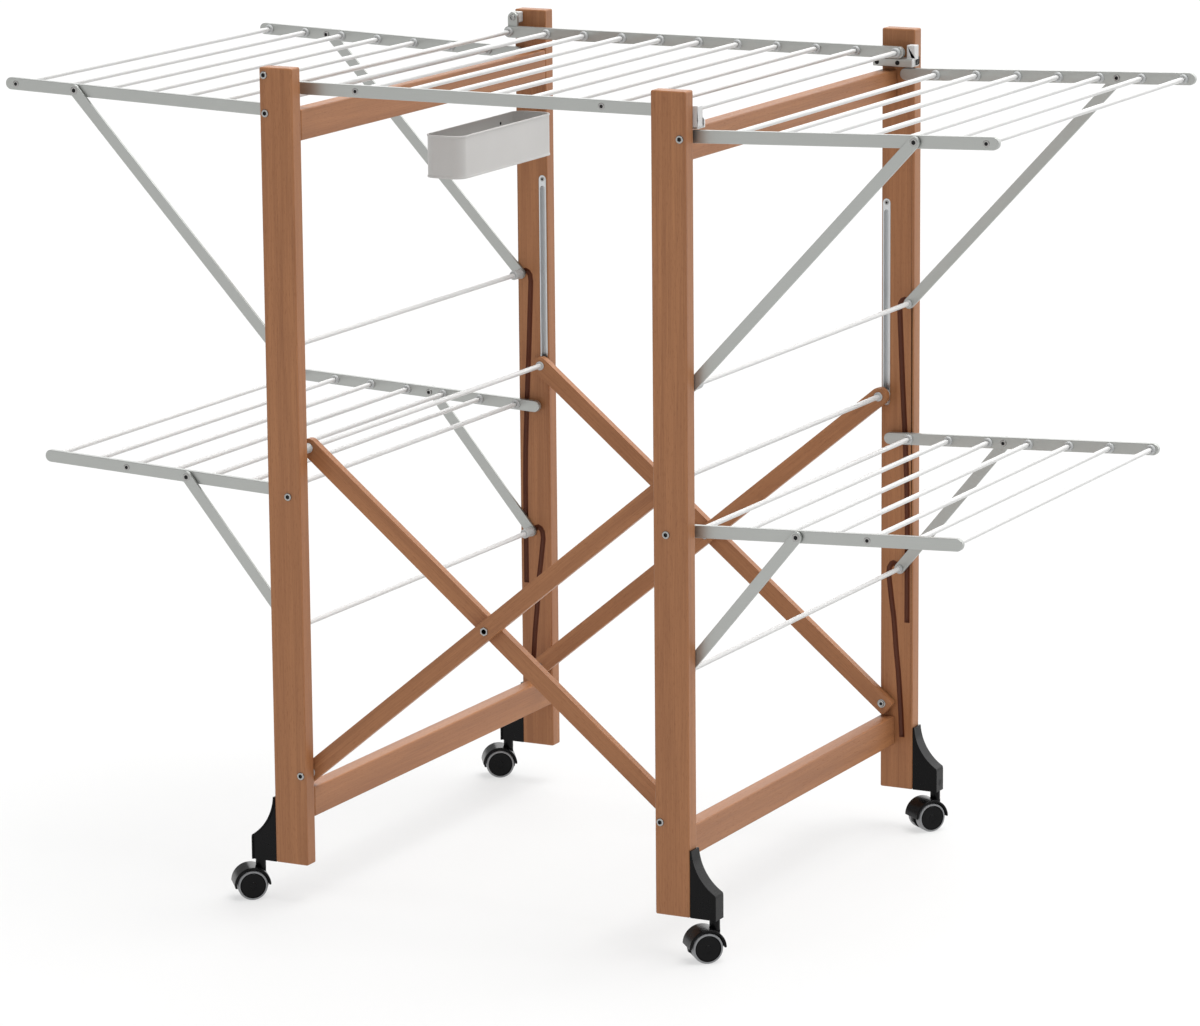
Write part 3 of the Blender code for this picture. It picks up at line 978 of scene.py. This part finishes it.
@dataclass
class CasterBlock:
    """Curved black block beside a post's foot, with a raised rim along its hollow edge."""

    bench: Bench
    side: Side
    end: End
    hollow: float = 0.06885
    reach: tuple[float, float] = (0.0715, 0.0922)   # the hollow's centre, from the block's inner foot
    corner: float = 0.0045
    rim: float = 0.0024
    sunk: float = 0.0013
    spare: float = 0.01                             # how far a cut runs past the block

    def build(self) -> None:
        """Cut the block's hollow, sink its faces inside the rim and round its edges."""
        bench, spare = self.bench, self.spare
        label = f"{self.end.word}_{self.side.word}"
        low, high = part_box(f"caster_bracket_{label}")
        s = self.side.value
        inner, outer = (low.x, high.x) if s > 0 else (high.x, low.x)
        centre = Vector((inner + s * self.reach[0], (low.y + high.y) / 2.0, low.z + self.reach[1]))
        block = bench.box(low, high)
        bench.cut(block, self._hollow(centre, 0.0, high.y - low.y + spare))
        bench.pick(block, Pick.EDGE, lambda e: all(abs(v.co.x - outer) < 0.0001 for v in e.verts) and
                   all(low.z + spare < v.co.z for v in e.verts))
        bpy.ops.mesh.bevel(offset=self.corner, segments=5, affect="EDGES")
        near, far = sorted((inner - s * spare, outer - s * self.rim))
        for y in (low.y, high.y):
            flat = bench.box((near, y - self.sunk, low.z - spare), (far, y + self.sunk, high.z + spare))
            bench.cut(flat, self._hollow(centre, self.rim, 0.1))
            bench.cut(block, flat)
        bench.chamfer(block, 0.0007, 2, 40.0)
        bench.coat(block, Coat.BLACK)
        bench.hand_over(block, f"caster_block_{label}", f"{self.side.word}_frame", "black_plastic",
                        [f"caster_bracket_{label}"], 40.0)

    def _hollow(self, centre: Vector, grow: float, width: float) -> bpy.types.Object:
        """Make the wide cylinder that shapes the hollow edge.

        Args:
            centre: its middle.
            grow: how much wider than the hollow it is.
            width: its size along Y.

        Returns:
            The tool.
        """
        tool = self.bench.cylinder(self.hollow + grow, -width / 2.0, width / 2.0, 160)
        return self.bench.set_down(tool, Matrix.Translation(centre) @ LYING)


@dataclass
class Caster:
    """Hooded fork and twin wheel. Its sizes are measured from the axle's middle."""

    bench: Bench
    side: Side
    end: End
    hood_radius: float = 0.0245
    hood_half: float = 0.0175
    hood_wall: float = 0.0031
    web: Profile = ((-0.0035, 0.0218), (-0.0029, 0.0226), (0.0029, 0.0226), (0.0035, 0.0218))
    web_foot: float = -0.0070
    neck_behind: float = 0.0080
    neck_ahead: float = 0.0064
    neck_half: float = 0.0037
    neck_heights: tuple[float, float] = (0.0070, 0.0225)
    collar: float = 0.0068
    stem: float = 0.004
    disc: Profile = (
        (0.0042, 0.0186), (0.0050, 0.0195), (0.0062, 0.02), (0.0150, 0.02), (0.0162, 0.0196),
        (0.0170, 0.0189), (0.0172, 0.0180), (0.0172, 0.0171), (0.0165, 0.0167), (0.0165, 0.0161),
        (0.0170, 0.0155), (0.0172, 0.0120), (0.0169, 0.0070), (0.0166, 0.0064), (0.0166, 0.0046),
        (0.0171, 0.0040), (0.0171, 0.0030))
    tyre_sides: tuple[float, float] = (0.0049, 0.0158)
    tyre_inner: float = 0.0169
    shaft: Profile = ((-0.006, 0.0028), (-0.005, 0.0030), (0.005, 0.0030), (0.006, 0.0028))

    @property
    def label(self) -> str:
        """The words that its nodes share."""
        return f"{self.end.word}_{self.side.word}"

    def build(self) -> None:
        """Model the fork, then the wheel."""
        stem = joint(f"swivel_{self.label}")
        hub = joint(f"wheel_{self.label}_spin")
        axle = joint(f"wheel_{self.label}_spin", "axis")
        self._fork(stem, hub, axle)
        self._wheel(hub, axle)

    def _fork(self, stem: Vector, hub: Vector, axle: Vector) -> None:
        """Model the fork: a hood on a web, under a collar and stem.

        Args:
            stem: where the swivel is.
            hub: the axle's middle.
            axle: the axle's direction.
        """
        bench, wide = self.bench, self.collar
        away, rise = (stem - hub).xy.length, stem.z - hub.z
        hood = self._hood()
        web = bench.set_down(bench.turned(self.web, 48), LYING)
        bench.cut(web, bench.box((-0.04, -0.02, -0.04), (0.04, 0.02, self.web_foot)))
        foot, top = self.neck_heights
        neck = bench.chamfer(bench.box((away - self.neck_behind, -self.neck_half, foot),
                                       (away + self.neck_ahead, self.neck_half, top)), 0.001)
        collar = bench.turned([(0.0205, wide - 0.0006), (0.0213, wide), (rise - 0.0012, wide),
                               (rise - 0.0004, wide - 0.0008), (rise - 0.0004, self.stem),
                               (rise + 0.018, self.stem), (rise + 0.019, self.stem - 0.0008)], 28)
        bench.set_down(collar, Matrix.Translation((away, 0.0, 0.0)))
        fork = bench.coat(bench.join([hood, web, neck, collar]), Coat.BLACK)
        up = Vector((0.0, 0.0, 1.0))
        turn = Matrix((axle.cross(up), axle, up)).transposed().to_4x4()
        bench.set_down(fork, Matrix.Translation(hub) @ turn)
        bench.hand_over(fork, f"caster_hood_{self.label}", f"caster_{self.label}", "black_plastic",
                        [f"caster_fork_{self.label}"], 40.0)

    def _hood(self) -> bpy.types.Object:
        """Model the hood, the upper half of a tube with rounded edges.

        Returns:
            The hood.
        """
        hood = self.bench.cylinder(self.hood_radius, -self.hood_half, self.hood_half, 64, open_ends=True)
        self.bench.set_down(hood, LYING)
        self.bench.pick(hood, Pick.FACE, lambda face: True)
        bpy.ops.mesh.bisect(plane_co=(0, 0, 0), plane_no=(0, 0, 1), clear_inner=True)
        self.bench.take(hood)
        wall = hood.modifiers.new("wall", "SOLIDIFY")
        wall.thickness, wall.offset, wall.use_even_offset = self.hood_wall, -1.0, True
        bpy.ops.object.modifier_apply(modifier=wall.name)
        return self.bench.chamfer(hood, 0.0012, 3, 50.0)

    def _wheel(self, hub: Vector, axle: Vector) -> None:
        """Model two discs on one axle, each a grey tyre round a glossy hub that is sunk a little.

        Args:
            hub: the axle's middle.
            axle: the axle's direction.
        """
        bench = self.bench
        inside, outside = self.tyre_sides
        disc = bench.coat(bench.turned(self.disc, 56), Coat.RING)
        bench.coat(disc, Coat.BLACK, lambda face: face.center.z < inside or
                   (face.center.z > outside and face.center.xy.length < self.tyre_inner))
        near = bench.copy(disc, face_to(hub, -axle))
        far = bench.set_down(disc, face_to(hub, axle))
        shaft = bench.fitting(self.shaft, 20, Coat.CHROME, hub, axle)
        bench.hand_over(bench.join([near, far, shaft]), f"wheel_discs_{self.label}",
                        f"wheel_{self.label}", "tyre", [f"twin_wheel_{self.label}"], 30.0)


@dataclass
class Slats:
    """The two crossed pairs of wooden slats, their rods and the bolts where they cross."""

    bench: Bench
    radius: float = 0.012
    thickness: float = 0.011
    corner: float = 0.004
    pin: float = 0.0035
    washer: Profile = ((-0.0006, 0.0060), (0.0005, 0.0060), (0.0008, 0.0056), (0.0008, 0.004))
    sleeve: float = 0.0066
    thin: float = 0.004                             # a sleeve thinner than this is a plain ring
    cap: Profile = ((0.0, 0.0062), (0.0012, 0.0062), (0.0022, 0.0050), (0.0022, 0.0036))
    bolt: float = 0.0034
    bolt_head: float = 0.0036
    nut: Profile = ((0.0, 0.0058), (0.0009, 0.0060), (0.0012, 0.0056))
    low: dict[str, Vector] = field(init=False)
    middle: Vector = field(init=False)

    def build(self) -> None:
        """Model both pairs and the two bolts."""
        self.low = {"b": joint("fold"), "a": joint("right_frame_turn")}
        self.middle = joint("slat_cross")
        for key, coat in (("a", Coat.WOOD_FALLING), ("b", Coat.WOOD_RISING)):
            for end in End:
                self._slat(key, end, coat)
            self._rod(key)
        self._bolts()

    def _slat(self, key: str, end: End, coat: Coat) -> None:
        """Model one slat, with a bright collar and screw at its lower pin.

        Args:
            key: the pair that it belongs to.
            end: the front or the back one.
            coat: its finish.
        """
        bench, half_thick = self.bench, self.thickness / 2.0
        node = f"slat_{key}_{end.word}"
        low = self.low[key]
        half = self.middle - low
        face = end.inner(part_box(node))
        centre = face + end.value * half_thick
        outer = centre + end.value * half_thick
        slat = bench.bar(2.0 * half.length, self.radius, self.thickness, 0.0014, 10, self.corner)
        bench.coat(bench.set_down(slat, aim((low.x, centre, low.z), half)), coat)
        parts = [slat, bench.fitting(self.washer, 28, Coat.CHROME, (low.x, face, low.z), end.inward)]
        seat = (low.x, face - end.value * 0.0007, low.z)
        parts += SocketScrew(bench, Head.SLAT).at([(seat, end.inward)])
        gap = abs(centre - end.inner(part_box(f"post_{end.word}_left"))) - half_thick
        bush = [(-0.001, self.radius * 0.6), (gap - 0.0004, self.radius * 0.6)]
        parts.append(bench.fitting(bush, 24, Coat.GROMMET, (low.x, outer, low.z), end.outward))
        bench.hand_over(bench.join(parts), f"wood_{node}", f"slats_{key}", "wood", [node])

    def _rod(self, key: str) -> None:
        """Model the rod through a pair's upper ends, with sleeves towards the posts and caps inside.

        Args:
            key: the pair that it belongs to.
        """
        bench, r, wide = self.bench, self.pin, self.sleeve
        node = f"slat_rod_{key}"
        low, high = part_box(node)
        centre = (low + high) / 2.0
        reach = high.y - centre.y
        post = abs(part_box("post_front_left")[1].y - centre.y)
        rod = [(-reach, r * 0.8), (-reach + 0.0006, r), (reach - 0.0006, r), (reach, r * 0.8)]
        parts = [bench.fitting(rod, 24, Coat.WHITE, centre, (0, 1, 0))]
        for end in End:
            face = end.inner(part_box(f"slat_{key}_{end.word}")) + end.value * self.thickness - centre.y
            outer, inner = end.value * (post - 0.0004), face + end.value * 0.0003
            long = abs(outer - inner)
            sleeve = [(0.0, wide - 0.0006), (0.0008, wide), (long - 0.0008, wide), (long, wide - 0.0006)]
            if long <= self.thin:
                sleeve = [(0.0, wide - 0.0002), (long, wide - 0.0002)]
            for profile, y in ((sleeve, outer), (self.cap, face - end.value * (self.thickness + 0.0001))):
                spot = centre + Vector((0.0, y, 0.0))
                parts.append(bench.fitting(profile, 28, Coat.GROMMET, spot, end.inward))
        bench.hand_over(bench.join(parts), f"white_{node}", f"slats_{key}", "rod_white", [node])

    def _bolts(self) -> None:
        """A bolt through both slats where they cross, with a socket head inside and a nut outside."""
        bench, middle = self.bench, self.middle
        for end in End:
            node = f"slat_bolt_{end.word}"
            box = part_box(node)
            outer = end.outer(box)
            seat = end.inner(box) + end.value * self.bolt_head
            spot = (middle.x, seat, middle.z)
            shank = [(0.0, self.bolt), (abs(outer - seat), self.bolt)]
            parts = [bench.fitting(shank, 20, Coat.CHROME, spot, end.outward),
                     bench.fitting(self.nut, 6, Coat.CHROME, (middle.x, outer, middle.z), end.inward)]
            parts += SocketScrew(bench, Head.BOLT).at([(spot, end.inward)])
            bench.hand_over(bench.join(parts), f"cross_bolt_{end.word}", "slats_b", "bolt", [node])


@dataclass
class Wing:
    """A side wing: two rails, seven rods, and the pair of struts that props it."""

    bench: Bench
    side: Side
    level: Level
    rail_radius: float = 0.008
    rail_thickness: float = 0.008
    strut_radius: float = 0.0075
    strut_thickness: float = 0.004
    strut_gap: float = 0.0003
    pitch: float = 0.0586
    rods: int = 7
    first: dict[Level, float] = field(default_factory=lambda: {Level.UPPER: 0.0444, Level.LOWER: 0.0284})
    screwed_rod: dict[Level, int] = field(default_factory=lambda: {Level.UPPER: 6, Level.LOWER: 4})
    stub: Profile = ((0.0, PIN), (0.0165, PIN))
    foot_rod: float = 0.0033
    bushes: tuple[tuple[float, float], ...] = ((0.020, 0.0066), (0.004, 0.0054))   # length and radius
    hinge: Vector = field(init=False)
    pin: Vector = field(init=False)
    way: Vector = field(init=False)
    inner: float = field(init=False)
    length: float = field(init=False)

    @property
    def label(self) -> str:
        """The words that its nodes share."""
        return f"{self.level.value}_{self.side.word}"

    def build(self) -> None:
        """Read the wing's line from its joints, then model rails, rods and struts."""
        self.hinge = joint(f"wing_{self.label}_fold")
        self.pin = joint(f"struts_{self.label}_swing")
        self.way = (self.pin - self.hinge).normalized()
        low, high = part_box(f"wing_rail_front_{self.label}")
        self.inner = abs(high.y - self.hinge.y)
        tip = high.x if self.side is Side.RIGHT else low.x
        self.length = (abs(tip - self.hinge.x) - self.rail_radius) / abs(self.way.x)
        self._rails()
        self._struts()

    def _rails(self) -> None:
        """Both rails with their screws, and the rods between them."""
        bench = self.bench
        places = [self.first[self.level] + self.pitch * i for i in range(self.rods)]
        offset = (self.pin - self.hinge).length
        for end in End:
            inner, middle, outer = (end.value * (self.inner + self.rail_thickness * share)
                                    for share in (0.0, 0.5, 1.0))
            rail = bench.bar(self.length, self.rail_radius, self.rail_thickness, 0.0011, 10)
            parts = [bench.set_down(bench.coat(rail, Coat.SATIN), aim(self._spot(0.0, middle), self.way))]
            held = self._spot(places[self.screwed_rod[self.level]], outer)
            parts += SocketScrew(bench, Head.RAIL).at([(held, end.outward)])
            parts += SocketScrew(bench, Head.PIVOT).at([(self._spot(offset, inner), end.inward)])
            parts.append(bench.fitting(self.stub, 20, Coat.CHROME, self._spot(0.0, outer), end.outward))
            name, node = f"front_rail_{self.label}", f"wing_rail_front_{self.label}"
            if end is End.BACK:
                parts.append(RodSet(bench).along(self.inner, [self._spot(place, 0.0) for place in places]))
                name, node = f"rods_{self.label}", f"wing_comb_{self.label}"
            bench.hand_over(bench.join(parts), name, f"wing_{self.label}", "silver_metal", [node])

    def _spot(self, offset: float, y: float) -> Vector:
        """A point on the wing's line, a distance from its hinge."""
        return self.hinge + self.way * offset + Vector((0.0, y, 0.0))

    def _struts(self) -> None:
        """Both struts, and the rod that joins their feet, with a long bush at one end."""
        bench, thick = self.bench, self.strut_thickness
        body, node = f"struts_{self.label}", f"strut_rod_{self.label}"
        foot = self._foot()
        drop = foot - self.pin
        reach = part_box(node)[1].y - self.pin.y
        for end in End:
            middle = end.value * (reach + self.strut_gap + thick / 2.0)
            outer = end.value * (reach + self.strut_gap + thick)
            strut = bench.bar(drop.length, self.strut_radius, thick, 0.0006, 8)
            bench.coat(strut, Coat.SATIN)
            parts = [bench.set_down(strut, aim(self.pin + Vector((0, middle, 0)), drop))]
            for point, head in ((self.pin, Head.STRUT_TOP), (foot, Head.STRUT_FOOT)):
                parts += SocketScrew(bench, head).at([(point + Vector((0, outer, 0)), end.outward)])
            name = f"strut_{end.word}_{self.label}"
            bench.hand_over(bench.join(parts), f"prop_{name}", body, "silver_metal", [name])
        rod = ((-reach, self.foot_rod), (reach, self.foot_rod))
        parts = [bench.fitting(rod, 24, Coat.WHITE, foot, (0, 1, 0))]
        long_end = -self.side.value
        for sign, (long, radius) in zip((long_end, -long_end), self.bushes):
            bush = [(0.0, radius * 0.94), (0.0008, radius), (long - 0.0012, radius * 0.97),
                    (long, radius * 0.82), (long, 0.0036)]
            spot = foot + Vector((0, sign * reach, 0))
            parts.append(bench.fitting(bush, 28, Coat.GROMMET, spot, (0, -sign, 0)))
        bench.hand_over(bench.join(parts), f"foot_rod_{self.label}", body, "rod_white", [node])

    def _foot(self) -> Vector:
        """Find the middle of the rod between the struts' feet.

        Returns:
            The place.
        """
        low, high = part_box(f"strut_front_{self.label}")
        s = self.side.value
        x = (low.x if s > 0 else high.x) + s * self.strut_radius
        return Vector((x, self.pin.y, low.z + self.strut_radius))


@dataclass
class Grille:
    """The flip-over top grille, its hinge blocks on the left posts and its catches on the right ones."""

    bench: Bench
    rail_radius: float = 0.008
    rail_thickness: float = 0.008
    lug_radius: float = 0.0075
    lug_thickness: float = 0.005
    pitch: float = 0.0586
    rods: int = 11
    screwed: tuple[int, int] = (2, 8)
    block: float = 0.0144
    hinge_pin: Profile = ((0.0, PIN), (0.006, PIN))
    plate: float = 0.0108
    plate_screws: tuple[float, float] = (0.006, 0.036)
    stop: float = 0.0115
    clear: float = 0.0142                           # the deepest stop that the folded rails still pass

    def build(self) -> None:
        """Model the rails with lugs, the rods, the hinge blocks and the catches."""
        bench = self.bench
        hinge = joint("grille_flip")
        low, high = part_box("grille_rail_front")
        axis = hinge.y
        reach = abs(high.y - axis)
        z = low.z + self.rail_radius
        x0, x1 = low.x + self.rail_radius, high.x - self.rail_radius
        for end in End:
            middle = axis + end.value * (reach + self.rail_thickness / 2.0)
            outer = axis + end.value * (reach + self.rail_thickness)
            rail = bench.bar(x1 - x0, self.rail_radius, self.rail_thickness, 0.0011, 10)
            bench.set_down(rail, Matrix.Translation((x0, middle, z)))
            lug = bench.bar(hinge.z - z, self.lug_radius, self.lug_thickness, 0.0007, 8)
            place = (hinge.x, outer - end.value * self.lug_thickness / 2.0, z)
            bench.set_down(lug, aim(place, (0, 0, 1)))
            parts = [bench.coat(rail, Coat.SATIN), bench.coat(lug, Coat.SATIN)]
            heads = [((x0 + self.pitch * i, outer, z), end.outward) for i in self.screwed]
            parts += SocketScrew(bench, Head.RAIL).at(heads)
            inside = (hinge.x, outer - end.value * self.lug_thickness, hinge.z)
            parts += SocketScrew(bench, Head.PIVOT).at([(inside, end.inward)])
            name, node = "top_front_rail", "grille_rail_front"
            if end is End.BACK:
                spots = [Vector((x0 + self.pitch * i, axis, z)) for i in range(self.rods)]
                parts.append(RodSet(bench).along(reach, spots))
                name, node = "top_rods_and_rail", "grille_comb"
            bench.hand_over(bench.join(parts), name, "grille", "silver_metal", [node])
            self._block(end, hinge)
            self._catch(end)

    def _block(self, end: End, hinge: Vector) -> None:
        """Model a small white block that carries the grille's hinge.

        Args:
            end: the front or the back one.
            hinge: where the hinge is.
        """
        bench = self.bench
        node = f"hinge_block_{end.word}"
        low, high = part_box(node)
        y0, y1 = (low.y, low.y + self.block) if end is End.FRONT else (high.y - self.block, high.y)
        block = bench.chamfer(bench.box((low.x, y0, low.z), (high.x, y1, high.z)), 0.0018, 3)
        inside = y1 if end is End.FRONT else y0
        spot = (hinge.x, inside + end.value * 0.0005, hinge.z)
        pin = bench.fitting(self.hinge_pin, 20, Coat.CHROME, spot, end.inward)
        parts = [bench.coat(block, Coat.TRAY), pin]
        bench.hand_over(bench.join(parts), f"white_{node}", "left_frame", "white_plastic", [node])

    def _catch(self, end: End) -> None:
        """Model a plate that the grille's rail rests on, with a white upright stop at its outer end.

        Args:
            end: the front or the back one.
        """
        bench = self.bench
        node = f"catch_{end.word}"
        low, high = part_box(node)
        top = low.z + self.plate
        plate = bench.box((low.x, low.y, low.z), (high.x, high.y, top))
        near, far = (low.y, low.y + self.clear) if end is End.FRONT else (high.y - self.clear, high.y)
        stop = bench.box((high.x - self.stop, near, low.z + 0.002), (high.x, far, high.z))
        bench.cut(plate, stop, "UNION")
        bench.chamfer(plate, 0.0011, 3)
        bench.coat(plate, Coat.SATIN)
        parts = [bench.coat(plate, Coat.WHITE, lambda face: face.center.x > high.x - self.stop - 0.0015)]
        y, z = end.inner((low, high)), (low.z + top) / 2.0
        heads = [((low.x + along, y, z), end.inward) for along in self.plate_screws]
        parts += SocketScrew(bench, Head.SMALL, Coat.SOCKET).at(heads)
        bench.hand_over(bench.join(parts), f"white_{node}", "right_frame", "white_plastic", [node])


@dataclass
class PegTray:
    """Open tray with round corners and a slim rim along its top and foot."""

    bench: Bench
    length: float = 0.266
    corner: float = 0.016
    wall: float = 0.0025
    band: float = 0.0026
    lip: float = 0.0007
    tongue: tuple[float, float] = (-0.276, -0.259)
    rivets: tuple[float, float] = (0.05, 0.012)     # from the tray's ends and from its top

    def build(self) -> None:
        """Model the tray, hang it on its tongue and add its two rivets."""
        bench = self.bench
        low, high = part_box("peg_tray")
        back = low.y + self.length
        tray = self._tray(low, Vector((high.x, back, high.z)))
        near, far = self.tongue
        foot, top = (near, back - 0.0015, low.z + 0.012), (far, high.y, high.z - 0.008)
        tongue = bench.chamfer(bench.box(foot, top), 0.0015, 2)
        parts = [bench.coat(tray, Coat.TRAY), bench.coat(tongue, Coat.TRAY)]
        along, down = self.rivets
        spots = [((low.x + self.wall, y, high.z - down), (1, 0, 0)) for y in (low.y + along, back - along)]
        parts += SocketScrew(bench, Head.RIVET, Coat.SOCKET).at(spots)
        bench.hand_over(bench.join(parts), "open_peg_tray", "left_frame", "white_plastic", ["peg_tray"])

    def _tray(self, low: Vector, high: Vector) -> bpy.types.Object:
        """Round a block's corners, hollow it from above and raise its two rims.

        Args:
            low: the tray's lowest corner.
            high: its highest corner.

        Returns:
            The tray, still without a coat.
        """
        bench = self.bench
        tray = bench.box(low, high)
        bench.pick(tray, Pick.EDGE, lambda e: abs((e.verts[0].co - e.verts[1].co).z) > 0.03)
        bpy.ops.mesh.bevel(offset=self.corner, segments=10, affect="EDGES")
        for height in (low.z + self.band, high.z - self.band):
            bpy.ops.mesh.select_all(action="SELECT")
            bpy.ops.mesh.bisect(plane_co=(0, 0, height), plane_no=(0, 0, 1))
        bench.pick(tray, Pick.FACE, lambda face: face.normal.z > 0.9)
        bpy.ops.mesh.inset(thickness=self.wall)
        drop = high.z - low.z - self.wall
        bpy.ops.mesh.extrude_region_move(TRANSFORM_OT_translate={"value": (0.0, 0.0, -drop)})
        middle = Vector(((low.x + high.x) / 2.0, (low.y + high.y) / 2.0, 0.0))
        edge_low, edge_high = low.z + self.band + 0.001, high.z - self.band - 0.001

        def between(face: bmesh.types.BMFace) -> bool:
            """Whether a face is on the outside between the rims."""
            centre = face.calc_center_median()
            outward = face.normal.dot(Vector((centre.x, centre.y, 0.0)) - middle) > 0.0
            return abs(face.normal.z) < 0.3 and outward and edge_low < centre.z < edge_high

        bench.pick(tray, Pick.FACE, between)
        bpy.ops.mesh.extrude_region_shrink_fatten(TRANSFORM_OT_shrink_fatten={"value": -self.lip})
        return bench.chamfer(tray, 0.0005, 2, 40.0)


# ---------------------------------------------------------------------------------------------
# Studio
# ---------------------------------------------------------------------------------------------


@dataclass(frozen=True)
class WideLight:
    """A very soft light that reaches the whole floor evenly."""

    name: str
    towards: tuple[float, float, float]
    strength: float
    spread: float                              # the light's apparent size, in degrees
    away: float = 5.0

    def hang(self) -> None:
        """Add the light."""
        data = bpy.data.lights.new(self.name, "SUN")
        data.energy, data.angle = self.strength, math.radians(self.spread)
        lamp = bpy.data.objects.new(self.name, data)
        bpy.context.scene.collection.objects.link(lamp)
        turn = Vector(self.towards).to_track_quat("Z", "Y").to_matrix().to_4x4()
        lamp.matrix_world = Matrix.Translation(Vector(self.towards) * self.away) @ turn


@dataclass
class Studio:
    """Pale floor, soft lights and the camera."""

    bench: Bench
    camera_place: tuple[float, float, float] = (3.1731, -6.14494, 1.9594)
    yaw: float = -0.47655
    pitch: float = 0.2104
    roll: float = -0.0087
    lens: float = 159.6
    sensor: float = 36.0
    sight: float = 200.0
    paper: float = 90.0
    sky: float = 0.32
    lights: tuple[WideLight, ...] = (
        WideLight("key", (0.26, 0.12, 0.95), 3.2, 46.0),
        WideLight("back_glow", (0.05, 0.92, 0.34), 1.8, 75.0),
        WideLight("front_fill", (-0.3, -0.9, 0.5), 0.35, 60.0),
    )

    def build(self) -> None:
        """Set the studio up."""
        self._floor()
        for light in self.lights:
            light.hang()
        world = bpy.data.worlds.new("studio")
        world.use_nodes = True
        backdrop = world.node_tree.nodes["Background"]
        backdrop.inputs["Color"].default_value = (1.0, 1.0, 1.0, 1.0)
        backdrop.inputs["Strength"].default_value = self.sky
        scene = bpy.context.scene
        scene.world = world
        scene.view_settings.view_transform = "Standard"
        scene.view_settings.look = "None"
        self._camera()

    def _floor(self) -> None:
        """A wide sheet of pale paper."""
        self.bench.clear()
        bpy.ops.mesh.primitive_plane_add(size=self.paper, location=(0.0, 0.0, 0.0))
        floor = self.bench.set_down(bpy.context.object)
        floor.name = "studio_floor"
        self.bench.coat(floor, Coat.FLOOR)

    def _camera(self) -> None:
        """The camera, from its yaw, pitch and roll."""
        level = math.cos(self.pitch)
        ahead = Vector((math.sin(self.yaw) * level, math.cos(self.yaw) * level, -math.sin(self.pitch)))
        right = Vector((math.cos(self.yaw), -math.sin(self.yaw), 0.0))
        up = right.cross(ahead)
        c, s = math.cos(self.roll), math.sin(self.roll)
        turned = Matrix((c * right + s * up, -s * right + c * up, -ahead)).transposed().to_4x4()
        data = bpy.data.cameras.new("camera")
        data.lens, data.sensor_width, data.sensor_fit = self.lens, self.sensor, "HORIZONTAL"
        data.clip_end = self.sight
        camera = bpy.data.objects.new("camera", data)
        bpy.context.scene.collection.objects.link(camera)
        camera.matrix_world = Matrix.Translation(self.camera_place) @ turned
        bpy.context.scene.camera = camera


def main() -> None:
    """Build the rack's looks and the studio in order."""
    logging.basicConfig(level=logging.INFO, format="%(name)s: %(message)s", stream=sys.stdout)
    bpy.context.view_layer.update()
    half = joint("slat_cross") - joint("fold")
    bench = Bench(Palette(math.atan2(half.z, half.x)))
    for side in Side:
        EndFrame(bench, side).build()
        for end in End:
            CasterBlock(bench, side, end).build()
            Caster(bench, side, end).build()
        for level in Level:
            Wing(bench, side, level).build()
    Slats(bench).build()
    Grille(bench).build()
    PegTray(bench).build()
    Studio(bench).build()


if __name__ == "__main__":
    main()
